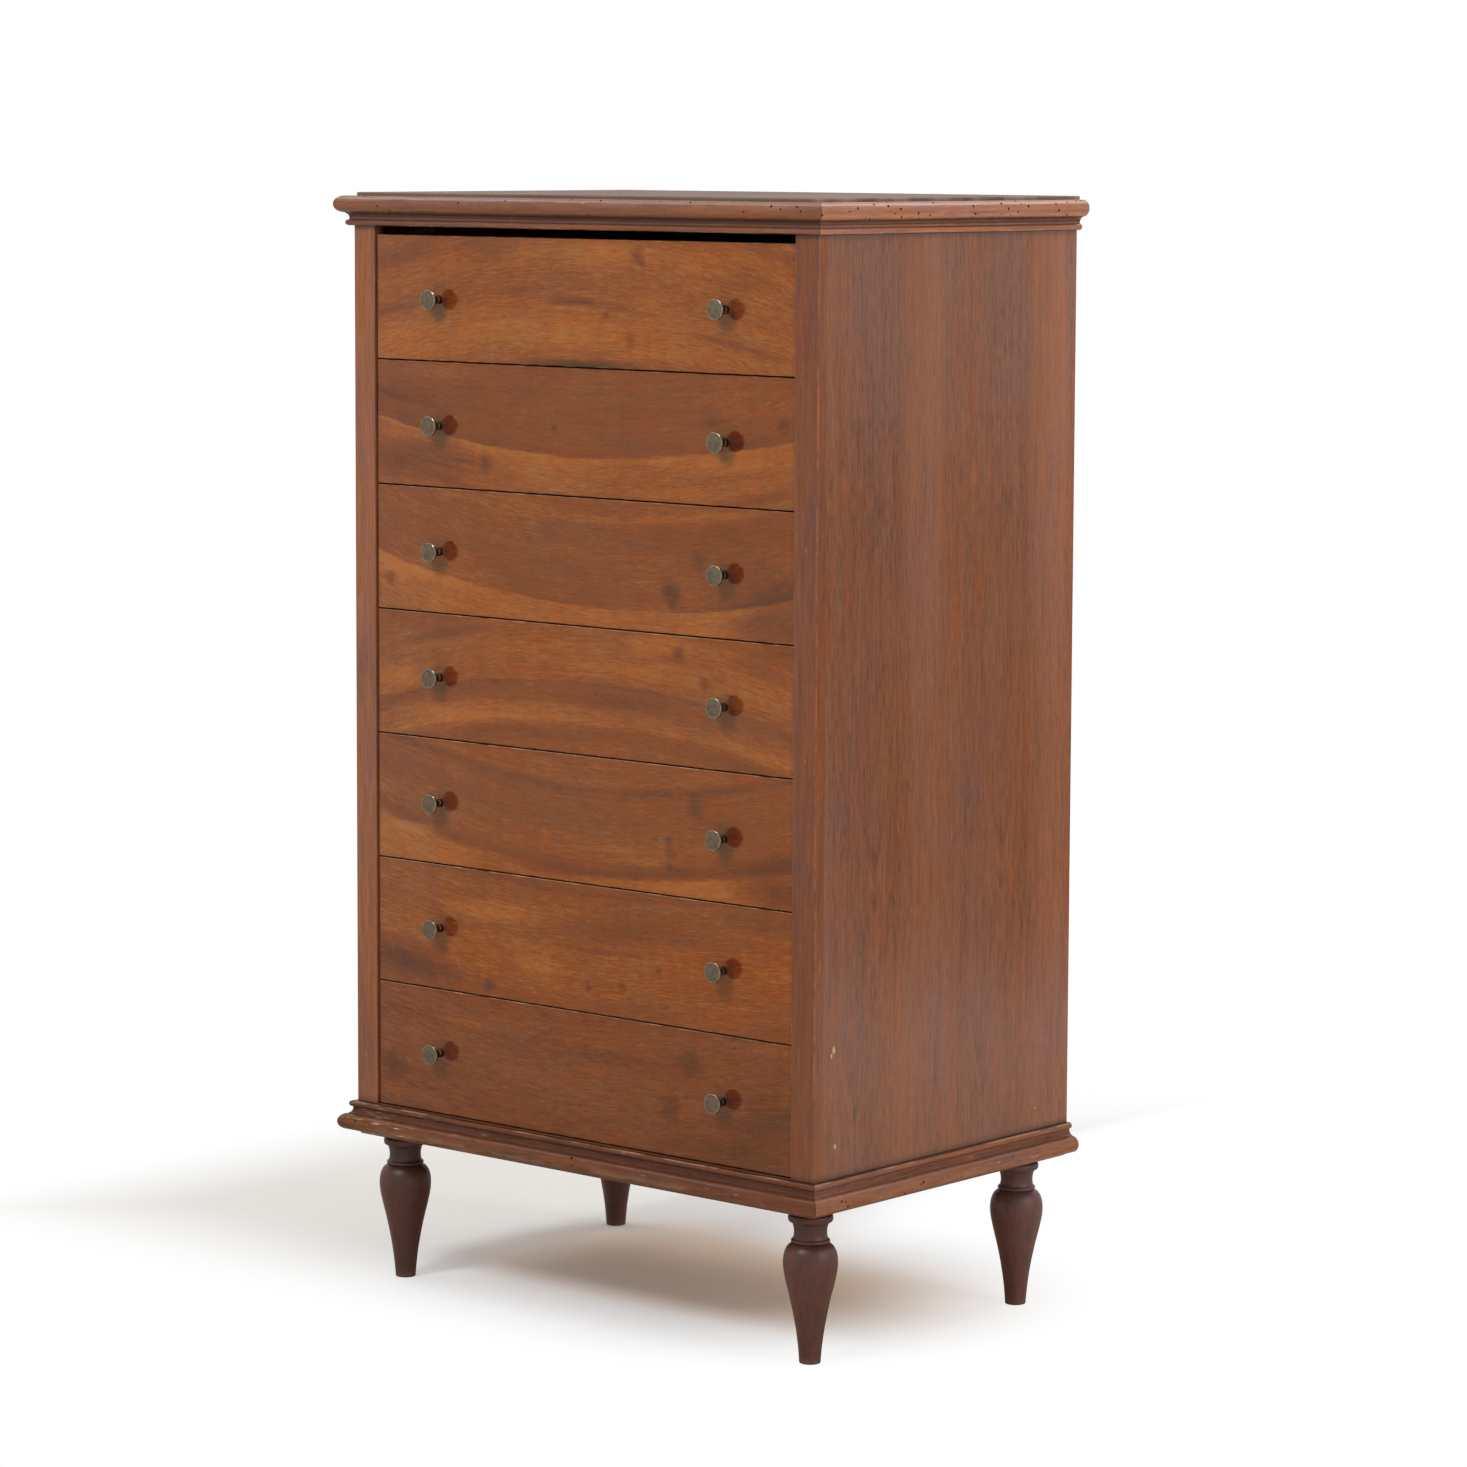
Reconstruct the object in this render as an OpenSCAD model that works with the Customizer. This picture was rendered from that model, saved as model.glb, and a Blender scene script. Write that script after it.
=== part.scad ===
// Tall narrow chest of seven drawers on four turned legs, with brass knobs.
// x runs across the front, y from front to back, z is up, and the floor is z = 0.
// The origin is on the floor, under the middle of the whole chest.

/* [Carcass] */
// Width of the carcass over its two side faces
carcass_w = 700; // [560:1:900]
// Depth of the carcass from the front face to the back face
carcass_d = 457; // [380:1:600]
// Thickness of each side panel
side_t = 18; // [15:0.5:24]
// Width of each front post
post_w = 33; // [28:1:50]
// Thickness of each front post
post_t = 14; // [10:0.5:18]
// Thickness of the back panel
back_t = 6; // [4:0.5:9]
// Width of the rebate that takes the back panel in each side
back_rebate_w = 9; // [6:0.5:12]

/* [Top and base] */
// Thickness of the top board
top_t = 20; // [18:0.5:26]
// Thickness of the base board
base_t = 20; // [18:0.5:26]
// How far the edges of both boards stand back from the carcass faces
board_setback = 2; // [0.5:0.5:4]
// Overhang of the top board behind the carcass
top_overhang = 8; // [0:1:15]
// Height of the top board's edge that shows above the cornice
top_reveal = 4; // [2:0.5:8]
// Height of the base board's edge that shows under the base moulding
base_reveal = 5; // [2:0.5:8]
// Depth of the rebate for the back panel in the base board's top edge
base_rebate_h = 12; // [8:1:14]

/* [Moulding] */
// Height of the cornice moulding and of the base moulding
moulding_h = 34.5; // [33:0.5:40]
// How far the big rounded nose stands out from the carcass face
nose_reach = 17.3; // [15:0.1:20]
// Radius of the big rounded nose
nose_r = 9.7; // [8:0.1:10.5]
// Radius of the small bead
bead_r = 3.7; // [3:0.1:4]
// How far the bead's tip stands out from the carcass face
bead_reach = 7.3; // [6:0.1:8]
// How far the flat between bead and nose stands out from the carcass face
flat_reach = 3.9; // [3:0.1:5]
// Radius of the cove that runs out under the nose
cove_r = 6.2; // [5:0.1:7]

/* [Drawers] */
// Height of the top drawer's front
top_front_h = 142.2; // [120:0.1:170]
// How much taller each drawer's front is than the one above it
front_grow = 0.5; // [0:0.1:6]
// Gap between one drawer's front and the next
front_gap = 1.6; // [1:0.1:3]
// Gap at each end of a drawer's front
front_end_gap = 1.5; // [0.5:0.1:3]
// Open gap between the top drawer's front and the cornice
head_gap = 9.9; // [2:0.1:14]
// Thickness of a drawer's front
front_t = 18; // [16:0.5:22]
// How far the drawers' fronts stand back from the posts
front_setback = 3; // [0:0.1:4]

/* [Drawer boxes] */
// Thickness of a drawer's sides
box_side_t = 11; // [9:0.5:14]
// Thickness of a drawer's back
box_back_t = 11; // [9:0.5:14]
// Free depth between the ends of a drawer's sides and the back panel
box_end_gap = 11.3; // [4:0.1:90]
// Distance from a drawer's back to the ends of its sides
back_inset = 10; // [6:1:20]
// Depth of the housing in each side that holds the back
housing = 4; // [2:0.5:5]
// Thickness of a drawer's bottom
bottom_t = 5; // [3:0.5:7]
// Height of the bottom's groove above the lower edge of the sides
bottom_up = 12; // [8:0.5:18]
// Depth of the groove for the bottom in sides and front
groove = 5; // [3:0.5:6]
// Free height between a drawer's sides and what lies above them
box_head = 3.2; // [1:0.1:6]
// Wood left in front of the dovetails, so that they don't show from the front
lap = 5; // [3:0.5:8]
// Width of a dovetail where it leaves the side
tail_w = 20; // [14:1:26]
// How far a dovetail widens on each edge
tail_flare = 3; // [1:0.5:4]
// Number of dovetails at each corner
tail_n = 3; // [2:1:4]
// Running gap under and around a sliding drawer
slide_gap = 0.3; // [0.2:0.1:0.5]

/* [Drawer frame] */
// Thickness of the rails and runners between the drawers
rail_t = 18; // [14:1:24]
// Depth of the front rails
rail_d = 60; // [40:1:90]
// Width of the runners, measured from the side panels
runner_w = 32; // [30:1:40]
// Height of the guides that keep a drawer straight
guide_h = 20; // [12:1:30]
// Thickness of the rail under the top board at the back
back_rail_t = 18; // [12:1:18]

/* [Knobs] */
// Diameter of a knob's disc
knob_d = 23.5; // [20:0.5:32]
// Distance from a drawer's front to the face of its knobs
knob_reach = 19.5; // [18:0.5:26]
// Thickness of the disc at its rim
knob_disc_t = 3; // [2:0.5:4]
// Diameter of the collar against the drawer's front
knob_collar_d = 10; // [8:0.5:14]
// Thickness of the collar
knob_collar_t = 4.5; // [3:0.5:6]
// Diameter of the stem
knob_stem_d = 5.6; // [4.5:0.1:7]
// Diameter of the screw that holds a knob
knob_screw_d = 4; // [3:0.1:4.4]
// Length of the screw in the drawer's front
knob_screw_l = 13; // [8:0.5:15]
// Distance from the end of a drawer's front to its knob
knob_inset = 99; // [60:1:180]
// How far a knob sits below the middle height of its drawer's front
knob_drop = 1.5; // [-20:0.5:20]

/* [Legs] */
// Height of the turned legs
leg_h = 172.5; // [150:0.5:260]
// Distance of a leg's axis from the side face
leg_inset_x = 38; // [32:1:60]
// Distance of a front leg's axis from the front face
leg_inset_front = 41; // [32:1:60]
// Distance of a back leg's axis from the back face
leg_inset_back = 45; // [34:1:60]
// Diameter at the floor
foot_d = 24; // [18:0.5:30]
// Diameter at the widest part of the swelling
bulb_d = 61; // [46:0.5:64]
// Distance from the top of the leg down to the widest part
bulb_drop = 59.5; // [56:0.5:70]
// Diameter of the narrow ring over the swelling
ring_d = 43.5; // [40:0.5:46]
// Thickness of that ring
ring_t = 5; // [4:0.5:6]
// Distance from the top of the leg down to the middle of the ring
ring_drop = 35; // [33:0.5:37]
// Diameter of the neck
neck_d = 35.5; // [30:0.5:38]
// Diameter of the cap under the base board
cap_d = 50.5; // [46:0.5:56]
// Thickness of the cap
cap_t = 8.5; // [6:0.5:9]
// Diameter of the short step between cap and base board
step_d = 44; // [36:0.5:46]
// Height of that step
step_t = 5; // [3:0.5:6]
// Diameter of the round tenon in the base board
tenon_d = 24; // [16:0.5:28]
// Length of the round tenon
tenon_l = 18; // [10:0.5:18]

/* [Back screws] */
// Diameter of the screws in the back panel
screw_d = 3; // [2:0.1:3.5]
// Diameter of their round heads
screw_head_d = 6; // [5:0.1:8]
// Length of a screw under its head
screw_l = 22; // [14:1:26]
// Number of screws up each edge of the back panel
screw_rows = 7; // [3:1:10]
// Number of screws along the top and the bottom of the back panel
screw_cols = 4; // [2:1:6]

/* [Hidden] */
$fn = 64;

drawer_n = 7;
// Clearance of a peg or screw in its hole, all round
peg_gap = 0.2;
// A little more than nothing, so that a cut passes clean through a face
eps = 0.1;

// Heights, from the floor up
base_top_z = leg_h + base_t;
base_moulding_z = leg_h + base_reveal;
fronts_z = base_moulding_z + moulding_h + front_gap;
fronts_top_z = front_z(0) + front_h(0);
cornice_z = fronts_top_z + head_gap;
top_z = cornice_z + moulding_h + top_reveal;
top_under_z = top_z - top_t;
panel_h = top_under_z - base_top_z;

// Widths and depths, from the front face back
half_w = carcass_w / 2;
inner_x = half_w - side_t;
mouth_x = half_w - post_w;
front_back_y = front_setback + front_t;
rail_y = front_back_y + slide_gap;
frame_back_y = carcass_d - back_t;
box_end_y = frame_back_y - box_end_gap;
box_out_x = mouth_x - front_end_gap;
box_in_x = box_out_x - box_side_t;
box_back_y = box_end_y - back_inset - box_back_t;
kicker_h = top_under_z - ceiling_z(0);

// The chest reaches from its knobs or its cornice to the top board's back edge
front_reach = max(knob_reach - front_setback, nose_reach);
middle_y = (carcass_d + top_overhang - front_reach) / 2;

// Height of drawer i's front, counted from 0 at the top
function front_h(i) = top_front_h + i * front_grow;

// Height of the lower edge of drawer i's front
function front_z(i) = i == drawer_n - 1 ? fronts_z : front_z(i + 1) + front_h(i + 1) + front_gap;

// Top of the rail and runners that carry drawer i
function runner_z(i) = front_z(i) + (rail_t - front_gap) / 2;

// Underside of what lies over drawer i's sides
function ceiling_z(i) = front_z(i) + front_h(i) - (rail_t - front_gap) / 2;

// Lower edge and height of drawer i's sides
function box_z(i) = runner_z(i) + slide_gap;
function box_h(i) = ceiling_z(i) - box_head - box_z(i);

// Middle height of dovetail k of drawer i
function tail_z(i, k) = box_z(i) + box_h(i) * (k + 0.5) / tail_n;

// Point t of the curve from a to d that starts towards b and arrives from c, and n such points after a
function bend(a, b, c, d, t) =
  pow(1 - t, 3) * a + 3 * pow(1 - t, 2) * t * b + 3 * (1 - t) * t * t * c + t * t * t * d;
function bend_points(a, b, c, d, n) = [for (k = [1 : n]) bend(a, b, c, d, k / n)];

// Puts a piece that is measured from the front face into the chest's own frame
module from_front() {
  translate([0, -middle_y, 0]) children();
}

// Box between two corners
module block(lo, hi) {
  translate(lo) cube(hi - lo);
}

// The piece on the right, or its mirror image on the left
module hand(side) {
  if (side == "left") mirror([1, 0, 0]) children();
  else children();
}

// Two pieces, one on each side
module both_hands() {
  hand("left") children();
  hand("right") children();
}

// Round bar along y, from y = start to y = end
module rod_y(d, start, end) {
  translate([0, end, 0]) rotate([90, 0, 0]) cylinder(d = d, h = end - start);
}

// Section of the moulding: x is how far it stands out, y runs from the bead's edge.
// The lip reaches in over the edge of the top board or the base board.
module moulding_section(lip_h) {
  nose_x = nose_reach - nose_r;
  nose_y = moulding_h - nose_r;
  cove_y = moulding_h - 2 * nose_r - cove_r;
  translate([0, bead_r]) square([flat_reach, moulding_h - bead_r]);
  translate([-board_setback, moulding_h - lip_h]) square([board_setback + eps, lip_h]);
  square([bead_reach - bead_r, bead_r]);
  translate([0, nose_y - nose_r]) square([nose_x, 2 * nose_r]);
  difference() {
    union() {
      translate([bead_reach - bead_r, bead_r]) circle(bead_r);
      translate([nose_x, nose_y]) circle(nose_r);
    }
    translate([-moulding_h, 0]) square(moulding_h);
  }
  difference() {
    translate([0, cove_y]) square([nose_x, cove_r + eps]);
    translate([flat_reach + cove_r, cove_y]) circle(cove_r);
  }
}

// Moulding with its bead down, along the front and cut to 45 degrees at both ends
module moulding_front(lip_h) {
  long = carcass_w + 2 * nose_reach;
  difference() {
    translate([long / 2, 0, 0]) rotate([90, 0, -90]) linear_extrude(long) moulding_section(lip_h);
    both_hands() mitre_cut() block([0, -long, -eps], [long, long, moulding_h + eps]);
  }
}

// Moulding with its bead down, along the right side and cut to 45 degrees at the front
module moulding_side(lip_h) {
  long = carcass_d + nose_reach;
  difference() {
    translate([half_w, carcass_d, 0]) rotate([90, 0, 0]) linear_extrude(long) moulding_section(lip_h);
    mitre_cut() block([-long, -long, -eps], [0, long, moulding_h + eps]);
  }
}

// Turns a block so that its face x = 0 lies in the right front corner's mitre
module mitre_cut() {
  translate([half_w, 0, 0]) rotate([0, 0, 45]) children();
}

// Puts a moulding at the top, or upside down at the base
module as_cornice() {
  translate([0, 0, cornice_z]) children();
}
module as_base_moulding() {
  translate([0, 0, base_moulding_z + moulding_h]) mirror([0, 0, 1]) children();
}

// Middles of the legs' tops, on the underside of the base board
function leg_x(side) = side == "left" ? leg_inset_x - half_w : half_w - leg_inset_x;
function leg_y(end) = end == "front" ? leg_inset_front : carcass_d - leg_inset_back;

// Half of the leg's outline, from the floor up to the top of its step
function leg_outline() =
  let (
    bulb_z = leg_h - bulb_drop,
    ring_low_z = leg_h - ring_drop - ring_t / 2,
    ring_high_z = leg_h - ring_drop + ring_t / 2,
    cap_z = leg_h - step_t - cap_t,
    foot_r = foot_d / 2,
    bulb_r = bulb_d / 2,
    ring_r = ring_d / 2,
    neck_r = neck_d / 2,
    cap_r = cap_d / 2,
    quirk = 1.5
  )
  concat(
    [[0, 0], [foot_r - 1.4, 0], [foot_r - 0.4, 0.4], [foot_r, 1.4]],
    bend_points([foot_r, 1.4], [foot_r * 1.3, bulb_z * 0.54],
      [bulb_r, bulb_z * 0.82], [bulb_r, bulb_z], 22),
    bend_points([bulb_r, bulb_z], [bulb_r, bulb_z + 9],
      [bulb_r - 2, ring_low_z - 3], [ring_r - quirk, ring_low_z], 12),
    [for (a = [-75 : 25 : 75])
      [ring_r - (1 - cos(a)) * ring_t / 2, leg_h - ring_drop + sin(a) * ring_t / 2]],
    [[ring_r - quirk - 0.5, ring_high_z]],
    bend_points([ring_r - quirk - 0.5, ring_high_z], [neck_r, ring_high_z + 3], [neck_r, cap_z - 4],
      [cap_r - 3.5, cap_z - 0.5], 12),
    [for (a = [-80 : 20 : 80])
      [cap_r - (1 - cos(a)) * cap_t / 4, cap_z + (1 + sin(a)) * cap_t / 2]],
    [[step_d / 2, cap_z + cap_t], [step_d / 2, leg_h], [0, leg_h]]
  );

module leg(side, end) {
  color("#3b1c18") from_front() translate([leg_x(side), leg_y(end), 0]) {
    rotate_extrude() polygon(leg_outline());
    translate([0, 0, leg_h - eps]) cylinder(d = tenon_d, h = tenon_l + eps);
  }
}

module side_panel(side) {
  color("#6f4029") from_front() hand(side) difference() {
    block([inner_x, post_t, base_top_z], [half_w, carcass_d, top_under_z]);
    block([inner_x - eps, frame_back_y, base_top_z - eps],
      [inner_x + back_rebate_w, carcass_d + eps, top_under_z + eps]);
    screw_holes(edge_screws());
  }
}

module front_post(side) {
  color("#693423") from_front() hand(side)
    block([mouth_x, 0, base_top_z], [half_w, post_t, top_under_z]);
}

module top_board() {
  color("#54392c") from_front()
    block([board_setback - half_w, board_setback, top_under_z],
      [half_w - board_setback, carcass_d + top_overhang, top_z]);
}

module base_board() {
  color("#5c3626") from_front() difference() {
    block([board_setback - half_w, board_setback, leg_h], [half_w - board_setback, carcass_d, base_top_z]);
    block([-inner_x - back_rebate_w, frame_back_y, base_top_z - base_rebate_h],
      [inner_x + back_rebate_w, carcass_d + eps, base_top_z + eps]);
    for (side = ["left", "right"], end = ["front", "back"])
      translate([leg_x(side), leg_y(end), leg_h - eps])
        cylinder(d = tenon_d + 2 * peg_gap, h = tenon_l + peg_gap + eps);
    screw_holes(bottom_screws());
  }
}

module back_panel() {
  half = inner_x + back_rebate_w - peg_gap;
  color("#8f6a48") from_front() difference() {
    block([-half, frame_back_y, base_top_z - base_rebate_h], [half, carcass_d, top_under_z]);
    both_hands() screw_holes(edge_screws());
    screw_holes(bottom_screws());
    screw_holes(top_screws());
  }
}

// Places [x, z] of the screws up the right edge, along the bottom and along the top
function edge_screws() =
  [for (k = [0 : screw_rows - 1])
    [inner_x + back_rebate_w / 2, base_top_z + panel_h * (k + 0.5) / screw_rows]];
function across(k) = inner_x * (2 * k + 1 - screw_cols) / screw_cols;
function bottom_screws() =
  [for (k = [0 : screw_cols - 1]) [across(k), base_top_z - base_rebate_h / 2]];
function top_screws() =
  [for (k = [0 : screw_cols - 1]) [across(k), top_under_z - kicker_h / 2]];

module screw_holes(places) {
  for (p = places)
    translate([p[0], 0, p[1]]) rod_y(screw_d + 2 * peg_gap, carcass_d - screw_l - peg_gap, carcass_d + eps);
}

module screws(places) {
  for (p = places) translate([p[0], 0, p[1]]) {
    rod_y(screw_d, carcass_d - screw_l, carcass_d + eps);
    rod_y(screw_head_d, carcass_d, carcass_d + 1);
    translate([0, carcass_d + 1, 0]) rotate([-90, 0, 0])
      cylinder(d1 = screw_head_d, d2 = screw_head_d / 2, h = 1.2);
  }
}

module back_screws() {
  color("#8a8580") from_front() {
    both_hands() screws(edge_screws());
    screws(bottom_screws());
    screws(top_screws());
  }
}

module top_front_rail() {
  color("#6b4a33") from_front()
    block([-mouth_x, 0, cornice_z], [mouth_x, rail_y + rail_d, top_under_z]);
}

module top_back_rail() {
  color("#a98458") from_front() difference() {
    block([-inner_x, frame_back_y - back_rail_t, ceiling_z(0)], [inner_x, frame_back_y, top_under_z]);
    screw_holes(top_screws());
  }
}

// Low in front, to back the base moulding, and level with the runners behind the drawer's front
module bottom_rail() {
  color("#6b4a33") from_front() {
    block([-mouth_x, 0, base_top_z], [mouth_x, rail_y + eps, fronts_z - front_gap]);
    block([-mouth_x, rail_y, base_top_z], [mouth_x, rail_y + rail_d, runner_z(drawer_n - 1)]);
  }
}

module drawer_rails() {
  color("#a98458") from_front() for (i = [0 : drawer_n - 2])
    block([-inner_x, rail_y, runner_z(i) - rail_t], [inner_x, rail_y + rail_d, runner_z(i)]);
}

// The lowest pair of runners stands on the base board
module drawer_runners() {
  color("#b08c5e") from_front() both_hands() for (i = [0 : drawer_n - 1]) {
    low_z = i == drawer_n - 1 ? base_top_z : runner_z(i) - rail_t;
    block([inner_x - runner_w, rail_y + rail_d, low_z], [inner_x, frame_back_y, runner_z(i)]);
  }
}

module drawer_guides() {
  color("#b89468") from_front() both_hands() for (i = [0 : drawer_n - 1])
    block([mouth_x, rail_y + rail_d, runner_z(i)], [inner_x, frame_back_y, runner_z(i) + guide_h]);
}

// Strips that stop the top drawer from tipping when it is pulled out
module top_kickers() {
  color("#b08c5e") from_front() both_hands()
    block([inner_x - runner_w, rail_y + rail_d, ceiling_z(0)],
      [inner_x, frame_back_y - back_rail_t, top_under_z]);
}

// One dovetail on the right side of a drawer, or its socket if it runs past the front's end
module tail(i, k, past_end) {
  w = tail_w / 2;
  l = front_t - lap;
  translate([box_in_x, front_back_y, tail_z(i, k)]) rotate([90, 0, 90])
    linear_extrude(box_side_t + past_end)
      polygon([[eps, -w], [eps, w], [-l, w + tail_flare], [-l, -w - tail_flare]]);
}

module drawer_front(i) {
  low = box_z(i) + bottom_up;
  color("#8a4e2a") from_front() difference() {
    block([-box_out_x, front_setback, front_z(i)], [box_out_x, front_back_y, front_z(i) + front_h(i)]);
    both_hands() for (k = [0 : tail_n - 1]) tail(i, k, eps);
    block([-box_in_x - groove, front_back_y - groove, low],
      [box_in_x + groove, front_back_y + eps, low + bottom_t]);
    both_hands() knob_place(i) rod_y(knob_screw_d + 2 * peg_gap, -eps, knob_screw_l + peg_gap);
  }
}

// Right side of a drawer, with its dovetails, a groove for the bottom and a housing for the back
module drawer_side(i) {
  low = box_z(i) + bottom_up;
  difference() {
    union() {
      block([box_in_x, front_back_y, box_z(i)], [box_out_x, box_end_y, box_z(i) + box_h(i)]);
      for (k = [0 : tail_n - 1]) tail(i, k, 0);
    }
    block([box_in_x - eps, front_back_y - groove, low], [box_in_x + groove, box_end_y + eps, low + bottom_t]);
    block([box_in_x - eps, box_back_y, low + bottom_t - eps],
      [box_in_x + housing, box_back_y + box_back_t, box_z(i) + box_h(i) + eps]);
  }
}

module drawer_sides(i) {
  color("#b79566") from_front() both_hands() drawer_side(i);
}

module drawer_back(i) {
  low = box_z(i) + bottom_up + bottom_t;
  color("#b08d60") from_front()
    block([-box_in_x - housing, box_back_y, low],
      [box_in_x + housing, box_back_y + box_back_t, box_z(i) + box_h(i)]);
}

module drawer_bottom(i) {
  low = box_z(i) + bottom_up;
  color("#c0a070") from_front()
    block([-box_in_x - groove, front_back_y - groove, low], [box_in_x + groove, box_end_y, low + bottom_t]);
}

// Middle of the right knob's seat on drawer i's front
module knob_place(i) {
  translate([box_out_x - knob_inset, front_setback, front_z(i) + front_h(i) / 2 - knob_drop]) children();
}

// Half of a knob's outline, from the tip of its screw to its face
function knob_outline() =
  let (
    r = knob_d / 2,
    stem_r = knob_stem_d / 2,
    rim_z = knob_reach - knob_disc_t,
    collar_r = knob_collar_d / 2,
    edge = 0.7
  )
  concat(
    [[0, -knob_screw_l], [knob_screw_d / 2, 1 - knob_screw_l], [knob_screw_d / 2, 0], [collar_r - edge, 0]],
    [for (a = [-60 : 30 : 60])
      [collar_r - edge * (1 - cos(a)), knob_collar_t / 2 + sin(a) * (knob_collar_t / 2 - 0.3)]],
    bend_points([collar_r - edge, knob_collar_t], [stem_r, knob_collar_t + 1.5], [stem_r, rim_z - 6],
      [r - 1.5, rim_z - 1], 14),
    [[r - 0.5, rim_z - 0.4], [r, rim_z + 0.4], [r, knob_reach - 1.3], [r - 0.4, knob_reach - 0.7],
      [r - 1.3, knob_reach - 0.3], [r - 3, knob_reach], [0, knob_reach]]
  );

module drawer_knobs(i) {
  color("#8b7a4e") from_front() both_hands() knob_place(i)
    rotate([90, 0, 0]) rotate_extrude() polygon(knob_outline());
}

module side_panel_left() { side_panel("left"); }
module side_panel_right() { side_panel("right"); }
module front_post_left() { front_post("left"); }
module front_post_right() { front_post("right"); }
module cornice_front() {
  color("#70402c") from_front() as_cornice() moulding_front(top_t - top_reveal);
}
module cornice_left() {
  color("#70402c") from_front() as_cornice() hand("left") moulding_side(top_t - top_reveal);
}
module cornice_right() {
  color("#70402c") from_front() as_cornice() moulding_side(top_t - top_reveal);
}
module base_moulding_front() {
  color("#6a3b28") from_front() as_base_moulding() moulding_front(base_t - base_reveal);
}
module base_moulding_left() {
  color("#6a3b28") from_front() as_base_moulding() hand("left") moulding_side(base_t - base_reveal);
}
module base_moulding_right() {
  color("#6a3b28") from_front() as_base_moulding() moulding_side(base_t - base_reveal);
}

side_panel_left();
side_panel_right();
front_post_left();
front_post_right();
back_panel();
back_screws();
top_board();
base_board();
top_front_rail();
top_back_rail();
bottom_rail();
drawer_rails();
drawer_runners();
drawer_guides();
top_kickers();
cornice_front();
cornice_left();
cornice_right();
base_moulding_front();
base_moulding_left();
base_moulding_right();
leg("left", "front");  // leg_front_left
leg("right", "front");  // leg_front_right
leg("left", "back");  // leg_back_left
leg("right", "back");  // leg_back_right
drawer_front(0);  // drawer_1_front
drawer_sides(0);  // drawer_1_sides
drawer_back(0);  // drawer_1_back
drawer_bottom(0);  // drawer_1_bottom
drawer_knobs(0);  // drawer_1_knobs
drawer_front(1);  // drawer_2_front
drawer_sides(1);  // drawer_2_sides
drawer_back(1);  // drawer_2_back
drawer_bottom(1);  // drawer_2_bottom
drawer_knobs(1);  // drawer_2_knobs
drawer_front(2);  // drawer_3_front
drawer_sides(2);  // drawer_3_sides
drawer_back(2);  // drawer_3_back
drawer_bottom(2);  // drawer_3_bottom
drawer_knobs(2);  // drawer_3_knobs
drawer_front(3);  // drawer_4_front
drawer_sides(3);  // drawer_4_sides
drawer_back(3);  // drawer_4_back
drawer_bottom(3);  // drawer_4_bottom
drawer_knobs(3);  // drawer_4_knobs
drawer_front(4);  // drawer_5_front
drawer_sides(4);  // drawer_5_sides
drawer_back(4);  // drawer_5_back
drawer_bottom(4);  // drawer_5_bottom
drawer_knobs(4);  // drawer_5_knobs
drawer_front(5);  // drawer_6_front
drawer_sides(5);  // drawer_6_sides
drawer_back(5);  // drawer_6_back
drawer_bottom(5);  // drawer_6_bottom
drawer_knobs(5);  // drawer_6_knobs
drawer_front(6);  // drawer_7_front
drawer_sides(6);  // drawer_7_sides
drawer_back(6);  // drawer_7_back
drawer_bottom(6);  // drawer_7_bottom
drawer_knobs(6);  // drawer_7_knobs
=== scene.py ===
"""Looks for a tall narrow chest of seven drawers in polished walnut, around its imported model.

Lengths are in metres: x runs across the front, y from front to back, and z is up from the floor.
"""
import math

import bmesh
import bpy
from mathutils import Matrix, Vector


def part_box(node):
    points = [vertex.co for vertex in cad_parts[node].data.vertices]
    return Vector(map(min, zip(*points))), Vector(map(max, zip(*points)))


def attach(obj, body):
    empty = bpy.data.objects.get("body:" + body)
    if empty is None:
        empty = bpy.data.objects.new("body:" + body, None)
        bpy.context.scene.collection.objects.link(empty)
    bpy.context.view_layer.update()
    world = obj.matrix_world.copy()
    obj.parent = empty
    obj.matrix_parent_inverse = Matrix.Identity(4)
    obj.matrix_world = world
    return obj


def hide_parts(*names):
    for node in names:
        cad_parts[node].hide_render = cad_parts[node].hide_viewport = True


bl_info = {
    "name": "Tall chest of seven drawers",
    "version": (1, 0, 0),
    "blender": (4, 5, 0),
    "location": "3D View > Sidebar > Chest",
    "description": "Walnut, brass and stage for a tall narrow chest of drawers",
    "category": "Object",
}

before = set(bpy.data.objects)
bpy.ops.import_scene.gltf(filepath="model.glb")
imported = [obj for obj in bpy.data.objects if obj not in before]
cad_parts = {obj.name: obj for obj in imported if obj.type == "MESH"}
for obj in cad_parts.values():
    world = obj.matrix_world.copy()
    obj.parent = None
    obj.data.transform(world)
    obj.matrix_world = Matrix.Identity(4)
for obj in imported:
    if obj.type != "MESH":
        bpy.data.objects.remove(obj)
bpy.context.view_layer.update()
MM = 0.001
# Corners closer than this are welded
WELD = 0.002 * MM
DRAWERS = range(1, 8)

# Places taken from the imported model
POST_LOW, POST_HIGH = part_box("front_post_right")
PANEL_LOW, PANEL_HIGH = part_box("side_panel_right")
HALF_W = POST_HIGH.x
FACE_Y = POST_LOW.y
BACK_Y = PANEL_HIGH.y
CORNICE_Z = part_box("cornice_front")[0].z
KNOB_LOW, KNOB_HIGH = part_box("drawer_1_knobs")
KNOB_X = KNOB_HIGH.x - (KNOB_HIGH.z - KNOB_LOW.z) / 2
KNOB_R = (KNOB_HIGH.z - KNOB_LOW.z) / 2 / MM
KNOB_REACH = (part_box("drawer_1_front")[0].y - KNOB_LOW.y) / MM
BASE_MOULDING_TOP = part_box("base_moulding_front")[1].z


# Settings

def paint(name, description, default):
    return bpy.props.FloatVectorProperty(
        name=name, description=description, default=default, size=3, subtype="COLOR", min=0, max=1)


def length(name, description, default):
    return bpy.props.FloatProperty(
        name=name, description=description, default=default, min=0, unit="LENGTH", subtype="DISTANCE")


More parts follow.
